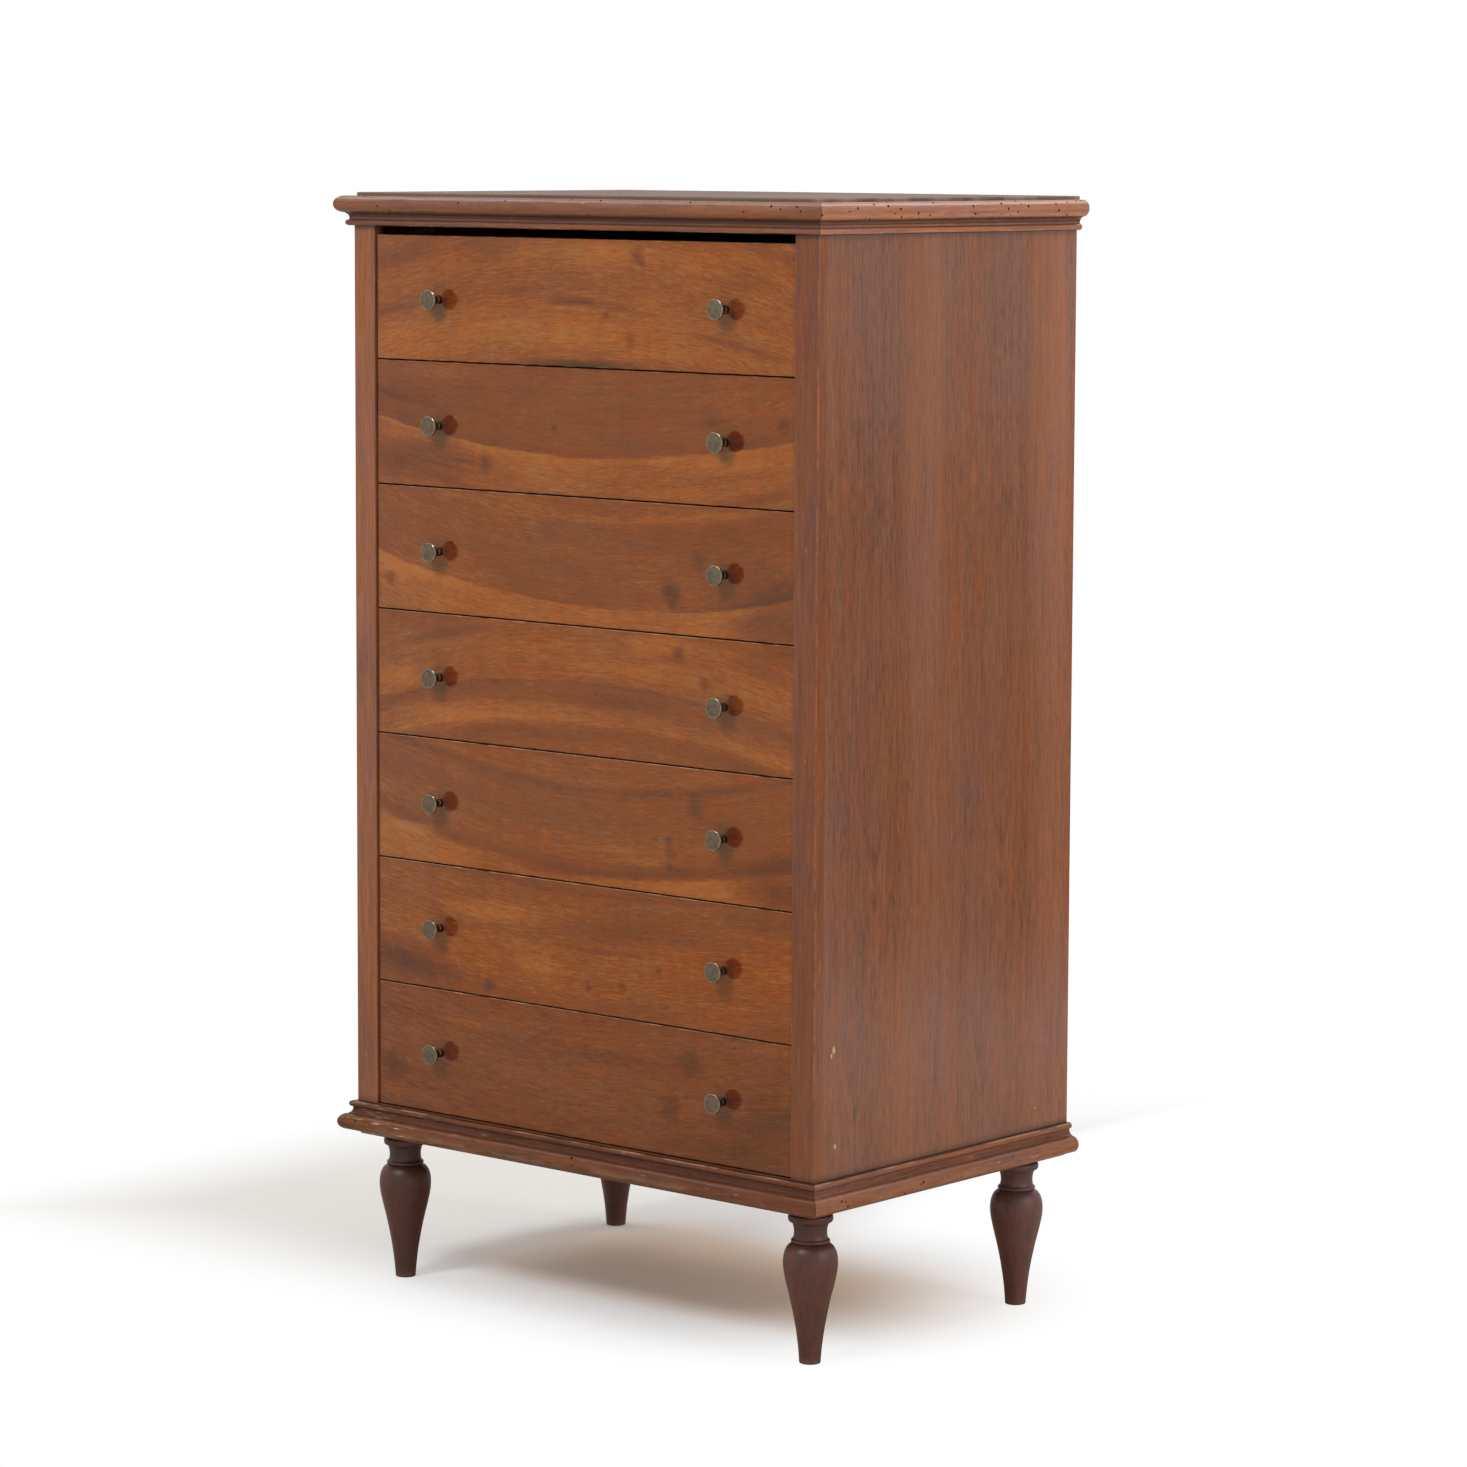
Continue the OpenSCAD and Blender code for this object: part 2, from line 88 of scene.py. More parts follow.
def strength(name, description, default):
    return bpy.props.FloatProperty(name=name, description=description, default=default, min=0, max=5)


def power(name, description, default):
    return bpy.props.FloatProperty(name=name, description=description, default=default, min=0, unit="POWER")


class ChestPaint(bpy.types.PropertyGroup):
    """Colours of the woods and metals"""
    veneer_light: paint("Light veneer", "Pale orange bands of the drawers' walnut", (0.335, 0.096, 0.0185))
    veneer_warm: paint("Warm veneer", "Main colour of the drawers' walnut", (0.196, 0.0430, 0.0125))
    veneer_deep: paint("Deep veneer", "Heartwood bands of the drawers' walnut", (0.108, 0.0228, 0.0112))
    veneer_dark: paint("Dark veneer", "Knots and darkest streaks", (0.028, 0.009, 0.006))
    side_light: paint("Light side", "Orange stripes of the side panels", (0.27, 0.097, 0.042))
    side_deep: paint("Deep side", "Purplish stripes of the side panels", (0.15, 0.055, 0.026))
    post_light: paint("Light post", "Pale grain of the front posts", (0.224, 0.073, 0.026))
    post_deep: paint("Deep post", "Dark grain of the front posts", (0.104, 0.032, 0.014))
    moulding_light: paint("Light moulding", "Pale grain of the mouldings", (0.225, 0.080, 0.032))
    moulding_deep: paint("Deep moulding", "Dark grain of the mouldings", (0.095, 0.028, 0.013))
    top_light: paint("Light top", "Worn and faded places of the top board", (0.20, 0.122, 0.080))
    top_deep: paint("Deep top", "Darker grain of the top board", (0.085, 0.042, 0.026))
    leg_red: paint("Leg, rubbed", "Reddish stain where a leg is rubbed", (0.112, 0.033, 0.021))
    leg_dark: paint("Leg, dark", "Dark stain of the legs", (0.044, 0.020, 0.0155))
    brass: paint("Rubbed brass", "Bright edges of the knobs", (0.31, 0.265, 0.185))
    patina: paint("Dull brass", "Tarnished faces of the knobs", (0.174, 0.136, 0.093))
    pine_light: paint("Light pine", "Pale grain of the drawer boxes", (0.56, 0.37, 0.19))
    pine_deep: paint("Deep pine", "Dark grain of the drawer boxes", (0.36, 0.20, 0.085))
    bare_light: paint("Light bare wood", "Pale grain of the inner frame and base", (0.34, 0.20, 0.10))
    bare_deep: paint("Deep bare wood", "Dark grain of the inner frame and base", (0.17, 0.085, 0.040))
    back_light: paint("Light back", "Pale grain of the back panel", (0.33, 0.19, 0.10))
    back_deep: paint("Deep back", "Dark grain of the back panel", (0.17, 0.085, 0.042))
    steel: paint("Steel", "Screws of the back panel", (0.34, 0.32, 0.29))


class ChestSizes(bpy.types.PropertyGroup):
    """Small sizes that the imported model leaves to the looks"""
    arris: length("Front arris", "Rounding of the drawer fronts' edges", 0.9 * MM)
    post_arris: length("Post arris", "Rounding of the posts' corners", 1.4 * MM)
    board_arris: length("Board arris", "Rounding of the top and base boards", 1.6 * MM)
    joint_arris: length("Joint arris", "Rounding where two pieces meet flush", 0.35 * MM)
    rub: length("Rub", "Depth to which the mouldings are worn", 0.45 * MM)
    turning: length("Turning marks", "Depth of the marks and dents on the legs", 0.30 * MM)
    worm_radius: length("Worm hole", "Radius of a worm hole", 1.35 * MM)
    slot_width: length("Screw slot", "Width of the slots in the back screws", 0.9 * MM)


class ChestStage(bpy.types.PropertyGroup):
    """Light and camera"""
    room: strength("Room light", "Strength of the even light from the walls", 0.34)
    ceiling: strength("Ceiling light", "Strength of the even light from the ceiling", 0.72)
    bright_wall: strength("Bright walls", "Strength of the walls that the polish reflects", 0.90)
    dim_wall: strength("Dim walls", "Strength of what the polish reflects past the floor's edge", 0.20)
    key: power("Front light", "Soft lamp over the front", 62)
    side: power("Side light", "Soft lamp on the right", 60)
    over_left: power("Left ceiling lamp", "Soft lamp high on the left", 27)
    over_back: power("Back ceiling lamp", "Soft lamp high behind the chest", 31)
    floor: paint("Floor", "Colour of the floor", (0.93, 0.925, 0.92))
    # Painted under the chest: dust, and the warm shade of the chest's shadow
    dust_and_shade: paint("Floor dust", "Colour of the floor under the chest", (0.98, 0.72, 0.50))
    lens: bpy.props.FloatProperty(
        name="Lens", description="Focal length on a 36 mm frame, in millimetres", default=120.18, min=10)


# Node helpers

ORIGIN = (0.0, 0.0, 0.0)


class Nodes:
    """Short calls that add nodes to one tree"""

    def __init__(self, tree):
        self.tree = tree

    def feed(self, socket, value):
        if isinstance(value, bpy.types.NodeSocket):
            self.tree.links.new(value, socket)
        elif socket.type == "RGBA" and not isinstance(value, float):
            socket.default_value = (*value[:3], 1.0)
        else:
            socket.default_value = value

    def add(self, kind, values=None, **settings):
        node = self.tree.nodes.new(kind)
        for name, value in settings.items():
            setattr(node, name, value)
        for key, value in (values or {}).items():
            self.feed(node.inputs[key], value)
        return node

    def calc(self, operation, *values):
        node = self.add("ShaderNodeMath", operation=operation)
        for socket, value in zip(node.inputs, values):
            self.feed(socket, value)
        return node.outputs[0]

    def chain(self, operation, first, others):
        for value in others:
            first = self.calc(operation, first, value)
        return first

    def total(self, first, *others):
        return self.chain("ADD", first, others)

    def times(self, first, *others):
        return self.chain("MULTIPLY", first, others)

    def less(self, first, *others):
        return self.chain("SUBTRACT", first, others)

    def most(self, first, *others):
        return self.chain("MAXIMUM", first, others)

    def least(self, first, *others):
        return self.chain("MINIMUM", first, others)

    def size(self, value):
        return self.calc("ABSOLUTE", value)

    def vector(self, operation, *values):
        node = self.add("ShaderNodeVectorMath", operation=operation)
        for socket, value in zip(node.inputs, values):
            self.feed(socket, value)
        return node.outputs["Value" if operation in ("LENGTH", "DOT_PRODUCT") else "Vector"]

    def split(self, vector):
        return self.add("ShaderNodeSeparateXYZ", {"Vector": vector}).outputs[:]

    def join(self, x, y, z):
        return self.add("ShaderNodeCombineXYZ", {"X": x, "Y": y, "Z": z}).outputs[0]

    def away(self, x, y):
        """Distance from the middle, given the distances in two directions"""
        return self.vector("LENGTH", self.join(x, y, 0.0))

    def span(self, value, low, high, to_low=0.0, to_high=1.0, kind="SMOOTHSTEP"):
        """Turns value from low..high into to_low..to_high, and holds it there"""
        return self.add("ShaderNodeMapRange", {
            "Value": value, "From Min": low, "From Max": high, "To Min": to_low, "To Max": to_high,
        }, interpolation_type=kind).outputs["Result"]

    def stretch(self, vector, scale, shift=ORIGIN):
        return self.vector("MULTIPLY_ADD", vector, scale, shift)

    def noise(self, vector, detail=2.0, roughness=0.5):
        return self.add("ShaderNodeTexNoise", {
            "Vector": vector, "Scale": 1.0, "Detail": detail, "Roughness": roughness, "Distortion": 0.0,
        }).outputs[0]

    def glow(self, colour, strength):
        return self.add("ShaderNodeEmission", {"Color": colour, "Strength": strength})

    def blend(self, part, below, above):
        """Shader that goes over from below to above"""
        return self.add("ShaderNodeMixShader", {0: part, 1: below.outputs[0], 2: above.outputs[0]})

    def swing(self, place, scale, strength, detail=2.0, roughness=0.5, shift=ORIGIN):
        """Noise that swings about zero; scale is its features per metre"""
        rough = self.noise(self.stretch(place, scale, shift), detail, roughness)
        return self.times(self.less(rough, 0.5), strength)

    def blotches(self, place, scale, low, high, to_low=0.0, to_high=1.0, detail=2.0, roughness=0.5,
                 shift=ORIGIN):
        """Noise turned from low..high into to_low..to_high; scale is its features per metre"""
        rough = self.noise(self.stretch(place, scale, shift), detail, roughness)
        return self.span(rough, low, high, to_low, to_high)


class Finish(Nodes):
    """A material built up from nodes round one shader"""

    def __init__(self, name, specular=0.5, metallic=0.0, tint=None):
        self.material = bpy.data.materials.new(name)
        self.material.use_nodes = True
        super().__init__(self.material.node_tree)
        self.shader = self.tree.nodes["Principled BSDF"]
        self.shader.inputs["Specular IOR Level"].default_value = specular
        self.shader.inputs["Metallic"].default_value = metallic
        if tint:
            self.shader.inputs["Specular Tint"].default_value = (*tint, 1.0)
        self.place = self.add("ShaderNodeTexCoord").outputs["Object"]

    def ramp(self, value, stops):
        """Colours or greys along value, from stops of a place and a colour"""
        node = self.add("ShaderNodeValToRGB", {"Fac": value})
        ramp = node.color_ramp
        ramp.interpolation = "LINEAR"
        while len(ramp.elements) < len(stops):
            ramp.elements.new(1.0)
        for element, (place, colour) in zip(ramp.elements, stops):
            element.position = place
            grey = isinstance(colour, (int, float))
            element.color = (colour, colour, colour, 1.0) if grey else (*colour[:3], 1.0)
        return node.outputs["Color"]

    def mix(self, factor, a, b, kind="MIX"):
        node = self.add("ShaderNodeMix", data_type="RGBA", blend_type=kind)
        self.feed(node.inputs[0], factor)
        self.feed(node.inputs[6], a)
        self.feed(node.inputs[7], b)
        return node.outputs[2]

    def tinted(self, factor, wood, colour):
        """Multiplies colour into the wood as far as factor says"""
        return self.mix(factor, wood, self.mix(1.0, wood, colour, "MULTIPLY"))

    def hued(self, wood, vector, warm, cool):
        """Lets the wood go over in patches into a warmer and a cooler tint"""
        patchy = self.noise(vector, 3, 0.6)
        wood = self.tinted(self.span(patchy, 0.50, 0.66), wood, warm)
        return self.tinted(self.span(patchy, 0.50, 0.34), wood, cool)

    def attribute(self, name):
        return self.add("ShaderNodeAttribute", attribute_name=name).outputs["Vector"]

    def speckle(self, vector, per_metre, radius, chance, seed):
        """1 inside small round spots over a surface; chance is the share of cells with one"""
        moved_on = self.vector("ADD", vector, (seed * 0.37, seed * 0.61, seed * 0.83))
        cells = self.add("ShaderNodeTexVoronoi", {"Vector": moved_on, "Scale": per_metre, "Randomness": 1.0})
        near = self.span(cells.outputs["Distance"], radius * per_metre, radius * per_metre * 0.55)
        pick = self.split(cells.outputs["Color"])[0]
        return self.times(near, self.calc("LESS_THAN", pick, chance))

    def close(self, colour, roughness, height=None, depth=0.0):
        self.feed(self.shader.inputs["Base Color"], colour)
        self.feed(self.shader.inputs["Roughness"], roughness)
        if height is not None:
            bump = self.add("ShaderNodeBump", {"Height": height, "Strength": 1.0, "Distance": depth})
            self.feed(self.shader.inputs["Normal"], bump.outputs["Normal"])
        return self.material


def mixed(a, b, part):
    """Colour between a and b"""
    return tuple(x + (y - x) * part for x, y in zip(a, b))


def scales(axis, along, across):
    """Scale vector of a pattern that is stretched along the grain"""
    return tuple(along if letter == axis else across for letter in "XYZ")


def streaks(f, place, axis, wide, middle, narrow, fine=None):
    """Light and dark streaks along the grain, about zero"""
    fine = narrow if fine is None else fine
    return f.total(
        f.swing(place, scales(axis, 1.3, 21), wide, 3, 0.55),
        f.swing(place, scales(axis, 5, 95), middle, 3, 0.6, (3, 7, 1)),
        f.swing(place, scales(axis, 14, 260), narrow, 2, 0.6, (8, 4, 6)),
        f.swing(place, scales(axis, 50, 620), fine, 2, 0.7, (5, 2, 9)))


def pores(f, place, axis, strength):
    """Short dark pores of the wood"""
    return f.times(f.blotches(place, scales(axis, 45, 900), 0.60, 0.74, detail=1), strength)


def grain_patch():
    """Node group: an oval patch of lighter or darker wood that fades out at its edge"""
    tree = bpy.data.node_groups.new("Grain patch", "ShaderNodeTree")
    for name in ("Across", "Up", "Middle Across", "Middle Up", "Half Length", "Half Height", "Amount"):
        tree.interface.new_socket(name=name, in_out="INPUT", socket_type="NodeSocketFloat")
    tree.interface.new_socket(name="Tone", in_out="OUTPUT", socket_type="NodeSocketFloat")
    n = Nodes(tree)
    across, up, middle_x, middle_y, half_x, half_y, amount = n.add("NodeGroupInput").outputs[:7]
    a = n.calc("DIVIDE", n.less(across, middle_x), half_x)
    b = n.calc("DIVIDE", n.less(up, middle_y), half_y)
    far = n.calc("SQRT", n.total(n.times(a, a), n.times(b, b)))
    n.add("NodeGroupOutput", {"Tone": n.times(n.span(far, 1.0, 0.0), amount)})
    return tree


def patch(f, across, up, spot):
    """Adds one grain patch; spot is its middle and half sizes in millimetres, and its amount"""
    tree = bpy.data.node_groups.get("Grain patch") or grain_patch()
    node = f.add("ShaderNodeGroup", node_tree=tree)
    for socket, value in zip(node.inputs, (across, up, *(size * MM for size in spot[:4]), spot[4])):
        f.feed(socket, value)
    return node.outputs[0]


# Woods

# Colours of wear and dirt, some of which also carry painted shade and shadow
HOLE = (0.012, 0.006, 0.004)
SIDE_HOLE = (0.02, 0.009, 0.006)
WORM_HOLE_SHADE = (0.012, 0.005, 0.003)
KNOB_GRIME_AND_SHADOW = (0.050, 0.024, 0.024)
JOINT_DIRT = (0.035, 0.015, 0.010)
COVE_SHADE = (0.040, 0.012, 0.007)
MITRE_DIRT = (0.03, 0.012, 0.008)
RUBBED_ARRIS = (0.42, 0.21, 0.10)
RUBBED_CORNER = (0.32, 0.105, 0.050)
FRONT_CHIP = (0.55, 0.38, 0.24)
SIDE_CHIP = (0.50, 0.34, 0.19)
POST_SCUFF = (0.50, 0.32, 0.19)
MOULDING_SCUFF = (0.52, 0.34, 0.21)
LEG_NICK = (0.16, 0.065, 0.040)
WORN_FOOT = (0.14, 0.085, 0.060)
KNOB_DIRT = (0.022, 0.015, 0.010)
TOP_RING = (0.045, 0.024, 0.016)
TOP_SCRATCH = (0.42, 0.30, 0.20)
TOP_EDGE = (0.36, 0.27, 0.20)
RUST = (0.16, 0.075, 0.038)
# Colours that the darkest or palest grain goes towards
DARK_STREAK = (0.03, 0.015, 0.01)
DARK_HOLLOW = (0.02, 0.01, 0.008)
DARK_PATINA = (0.03, 0.03, 0.022)
GREY_GRIME = (0.05, 0.035, 0.025)
RUBBED_BEAD = (0.62, 0.42, 0.28)

# The figure of each drawer front, from the top drawer down. The bands of the veneer hang like a chain
# or rise like an arch: sag is how far they drop from their middle to the front's end, in mm. grain is
# the strength of the fine streaks, and lift a tint of the whole front. Bands are a height over the
# middle and a darkness. Patches follow the bands, and clouds lie level: both are across, up, half
# length, half height and darkness. Knots are across, up, half size and darkness.
FIGURES = [
    {"sag": -38, "middle": -5, "grain": 0.95, "lift": (1.02, 1.02, 0.98),
     "bands": [(-72, 0.5), (-66, 0.26), (-40, 0.2), (-12, 0.26), (20, 0.36), (60, 0.26), (110, 0.42)],
     "patches": [(10, 2, 95, 5, 0.24), (70, -4, 80, 5, 0.18), (-270, 78, 80, 24, 0.2),
                 (290, 92, 70, 16, 0.26), (230, -19, 115, 6, 0.28), (-285, 17, 50, 9, 0.26),
                 (10, -66, 120, 8, 0.3), (-90, 16, 70, 6, 0.16), (120, -52, 70, 10, -0.1)],
     "clouds": [(-150, 60, 80, 24, 0.24), (30, 56, 110, 26, -0.16), (300, 64, 50, 14, -0.24),
                (245, 30, 90, 22, 0.14), (-60, -32, 280, 16, -0.12), (120, -62, 110, 10, 0.12),
                (-285, -40, 70, 40, -0.1), (-12, 2, 56, 9, 0.32), (-10, -69, 135, 14, 0.55)],
     "knots": [(88, 54, 6, 0.35), (94, 46, 4, 0.3), (78, -38, 7, 0.25), (42, -12, 3, 0.4)]},
    {"sag": 33, "middle": 5, "grain": 0.8, "lift": (1.0, 1.0, 1.0),
     "bands": [(-120, 0.36), (-60, 0.22), (-34, 0.1), (-28.5, 0.04), (-26, 0.6), (-5, 0.56), (25, 0.5),
               (50, 0.5), (70, 0.52)],
     "patches": [(-205, -78, 60, 9, 0.32), (-285, -78, 70, 26, 0.3), (-255, 8, 70, 12, 0.16),
                 (-178, -52, 50, 5, 0.34), (-215, -62, 70, 5, 0.26), (-300, 2, 60, 10, 0.2),
                 (260, -84, 95, 10, 0.26), (-285, -30, 45, 9, -0.16), (200, 6, 40, 5, 0.2)],
     "clouds": [(-220, 60, 170, 20, -0.16), (-275, 2, 110, 20, 0.16), (-240, -36, 120, 34, 0.34),
                (190, -26, 120, 16, -0.14), (262, 0, 50, 12, 0.12)],
     "knots": [(-143, -41, 7, 0.5), (-37, 3, 3, 0.5), (199, 20, 8, 0.22), (299, 20, 6, 0.4)]},
    {"sag": 38, "middle": 40, "grain": 0.9, "lift": (1.0, 1.0, 1.0),
     "bands": [(-140, 0.24), (-70, 0.1), (-53, 0.04), (-50, 0.56), (-20, 0.5), (20, 0.46), (38, 0.52),
               (46, 0.3), (58, 0.42)],
     "patches": [(290, -62, 110, 50, 0.42), (250, 20, 120, 40, 0.14), (-100, 40, 90, 5, -0.14),
                 (-240, 30, 60, 12, 0.14)],
     "clouds": [(220, 60, 190, 16, -0.1), (-245, 62, 70, 14, -0.16), (-230, -12, 110, 26, -0.16),
                (270, 4, 60, 26, 0.12), (305, -62, 100, 26, 0.3), (-190, -30, 130, 18, -0.12)],
     "knots": [(138, -26, 9, 0.55), (140, -40, 4, 0.3), (178, 11, 8, 0.35), (-295, -35, 6, 0.45)]},
    {"sag": -38, "middle": 20, "grain": 0.85, "lift": (1.0, 1.0, 1.0),
     "bands": [(-62, 0.4), (-50, 0.58), (-44, 0.52), (-32, 0.12), (-18, 0.32), (-4, 0.46), (8, 0.62),
               (13, 0.32), (30, 0.26), (70, 0.32), (110, 0.46)],
     "patches": [(-210, 70, 90, 10, 0.3), (270, 62, 80, 14, 0.22), (60, -8, 130, 12, 0.26)],
     "clouds": [(120, 60, 80, 20, -0.24), (300, 62, 70, 24, 0.24), (-210, 62, 140, 16, 0.12),
                (50, 28, 130, 14, -0.1), (-275, -2, 70, 22, -0.24), (-230, -40, 150, 26, -0.18)],
     "knots": [(149, 51, 6, 0.5), (188, 22, 5, 0.3), (27, -2, 2.2, 0.9), (-16, 65, 2.2, 0.9)]},
    {"sag": 40, "middle": 20, "grain": 0.8, "lift": (1.0, 1.0, 1.0),
     "bands": [(-140, 0.2), (-90, 0.08), (-66, 0.12), (-58, 0.62), (-48, 0.5), (-36, 0.3), (0, 0.44),
               (26, 0.42), (36, 0.74), (44, 0.34), (60, 0.38), (90, 0.52)],
     "patches": [(290, -62, 90, 60, 0.3), (60, -28, 90, 8, -0.14), (-120, 25, 60, 7, 0.14)],
     "clouds": [(-245, -34, 70, 12, -0.28), (310, -58, 70, 24, 0.34), (235, 4, 90, 26, 0.14),
                (-20, -61, 150, 9, 0.36), (150, -44, 50, 6, 0.2), (90, -40, 80, 9, -0.16)],
     "knots": [(176, 28, 9, 0.45), (136, -12, 4, 0.4), (139, -26, 5, 0.35), (137, -40, 3.5, 0.3),
               (117, -12, 2.4, 0.8)]},
    {"sag": 20, "middle": 0, "grain": 1.0, "lift": (1.09, 1.16, 1.18),
     "bands": [(-90, 0.44), (-50, 0.36), (-10, 0.28), (5, 0.42), (40, 0.36), (56, 0.42), (62, 0.64),
               (72, 0.5)],
     "patches": [(40, 20, 120, 24, 0.22), (30, -1, 90, 5, 0.26), (-262, -58, 100, 32, 0.34),
                 (-170, 18, 90, 12, -0.14), (200, -45, 140, 8, 0.12)],
     "clouds": [(-300, -36, 100, 40, 0.2), (-215, -56, 100, 26, 0.14), (110, 34, 130, 30, 0.18),
                (290, 58, 120, 22, 0.22), (70, -62, 130, 12, 0.18), (290, -60, 100, 16, 0.16),
                (-120, 26, 110, 22, -0.22), (-60, -28, 60, 20, -0.18)],
     "knots": [(-103, -18, 2.4, 0.6), (17, -43, 4, 0.45), (67, -37, 4, 0.35), (120, -13, 4, 0.35),
               (-139, -60, 6, 0.45)]},
    {"sag": 22, "middle": -30, "grain": 1.2, "lift": (1.14, 1.25, 1.38),
     "bands": [(-90, 0.74), (-40, 0.68), (0, 0.58), (30, 0.66), (42, 0.52), (60, 0.62), (80, 0.6)],
     "patches": [(270, -50, 100, 40, 0.2), (-180, 34, 60, 6, -0.18), (-60, -10, 120, 8, -0.12)],
     "clouds": [(80, 24, 160, 14, 0.12), (290, 0, 80, 56, 0.2), (220, -58, 170, 18, 0.22),
                (-200, 30, 130, 24, -0.12), (50, -30, 60, 10, -0.12)],
     "knots": [(169, 33, 11, 0.4), (138, -17, 9, 0.4), (-291, -25, 12, 0.4), (-64, 38, 2, 0.9),
               (-41, 48, 2, 0.9), (36, 28, 2.4, 0.9), (208, 15, 2, 0.8), (234, 61, 2, 0.8)]},
]


def middle_z(number):
    """Height of a drawer's knobs over the middle of its front"""
    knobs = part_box(f"drawer_{number}_knobs")
    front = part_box(f"drawer_{number}_front")
    return (knobs[0].z + knobs[1].z - front[0].z - front[1].z) / 2


def front_tone(f, figure, seed, local, half_l):
    """How dark a front's veneer is, the place along its curved grain, and its ragged height"""
    u, depth, v = f.split(local)
    drift = f.swing(local, (3.2, 0, 11), 16 * MM, shift=(seed, 0, seed))
    ripple = f.swing(local, (13, 0, 30), 3.5 * MM, shift=(0, seed, 0))
    across = f.calc("DIVIDE", f.less(u, figure["middle"] * MM), half_l)
    sag = f.times(across, across, -figure["sag"] * MM)
    ragged = f.swing(local, (16, 0, 230), 7 * MM, 2, 0.6, (seed, 0, 1))
    up = f.total(v, sag, drift, ripple, ragged)
    place = f.join(u, depth, f.total(up, seed))

    reach = 150 * MM
    bands = [[0.5 + height * MM / (2 * reach), tone] for height, tone in figure["bands"]]
    mean = sum(tone for _, tone in bands) / len(bands)
    tone = f.ramp(f.span(up, -reach, reach, kind="LINEAR"), bands)
    faint = f.blotches(local, (6, 0, 14), 0.34, 0.64, 0.45, 1.15, shift=(seed, 0, 3))
    tone = f.total(f.times(f.less(tone, mean), faint), mean)
    tone = f.total(tone, *(patch(f, u, up, spot) for spot in figure["patches"]))
    cloud_u = f.total(u, f.swing(local, (9, 0, 24), 60 * MM, shift=(seed, 0, 2)))
    cloud_v = f.total(v, f.swing(local, (7, 0, 20), 16 * MM, shift=(1, 0, seed)), ragged)
    tone = f.total(tone, *(patch(f, cloud_u, cloud_v, spot) for spot in figure["clouds"]))
    grain = figure["grain"]
    tone = f.total(tone, streaks(f, place, "X", 0.26, 0.24 * grain, 0.32 * grain, 0.95 * grain),
                   f.swing(place, (2.4, 0, 300), 0.22 * grain, shift=(seed, 0, 4)),
                   f.swing(local, (26, 0, 60), 0.24 * grain, 3, 0.6, (seed, 0, 6)))
    rough_u = f.total(u, f.swing(local, (70, 0, 60), 14 * MM, 3, 0.6, (4, 0, 2)))
    rough_v = f.total(v, f.swing(local, (45, 0, 110), 11 * MM, 3, 0.6))
    for x, z, size, amount in figure["knots"]:
        half = size if size < 3 else size * 2.3
        tone = f.total(tone, patch(f, rough_u, rough_v, (x, z, half, half, amount)))
    cross = f.swing(local, (60, 0, 9), 0.14, shift=(seed, 0, 0))
    return f.total(tone, cross, pores(f, place, "X", 0.16)), place, rough_v


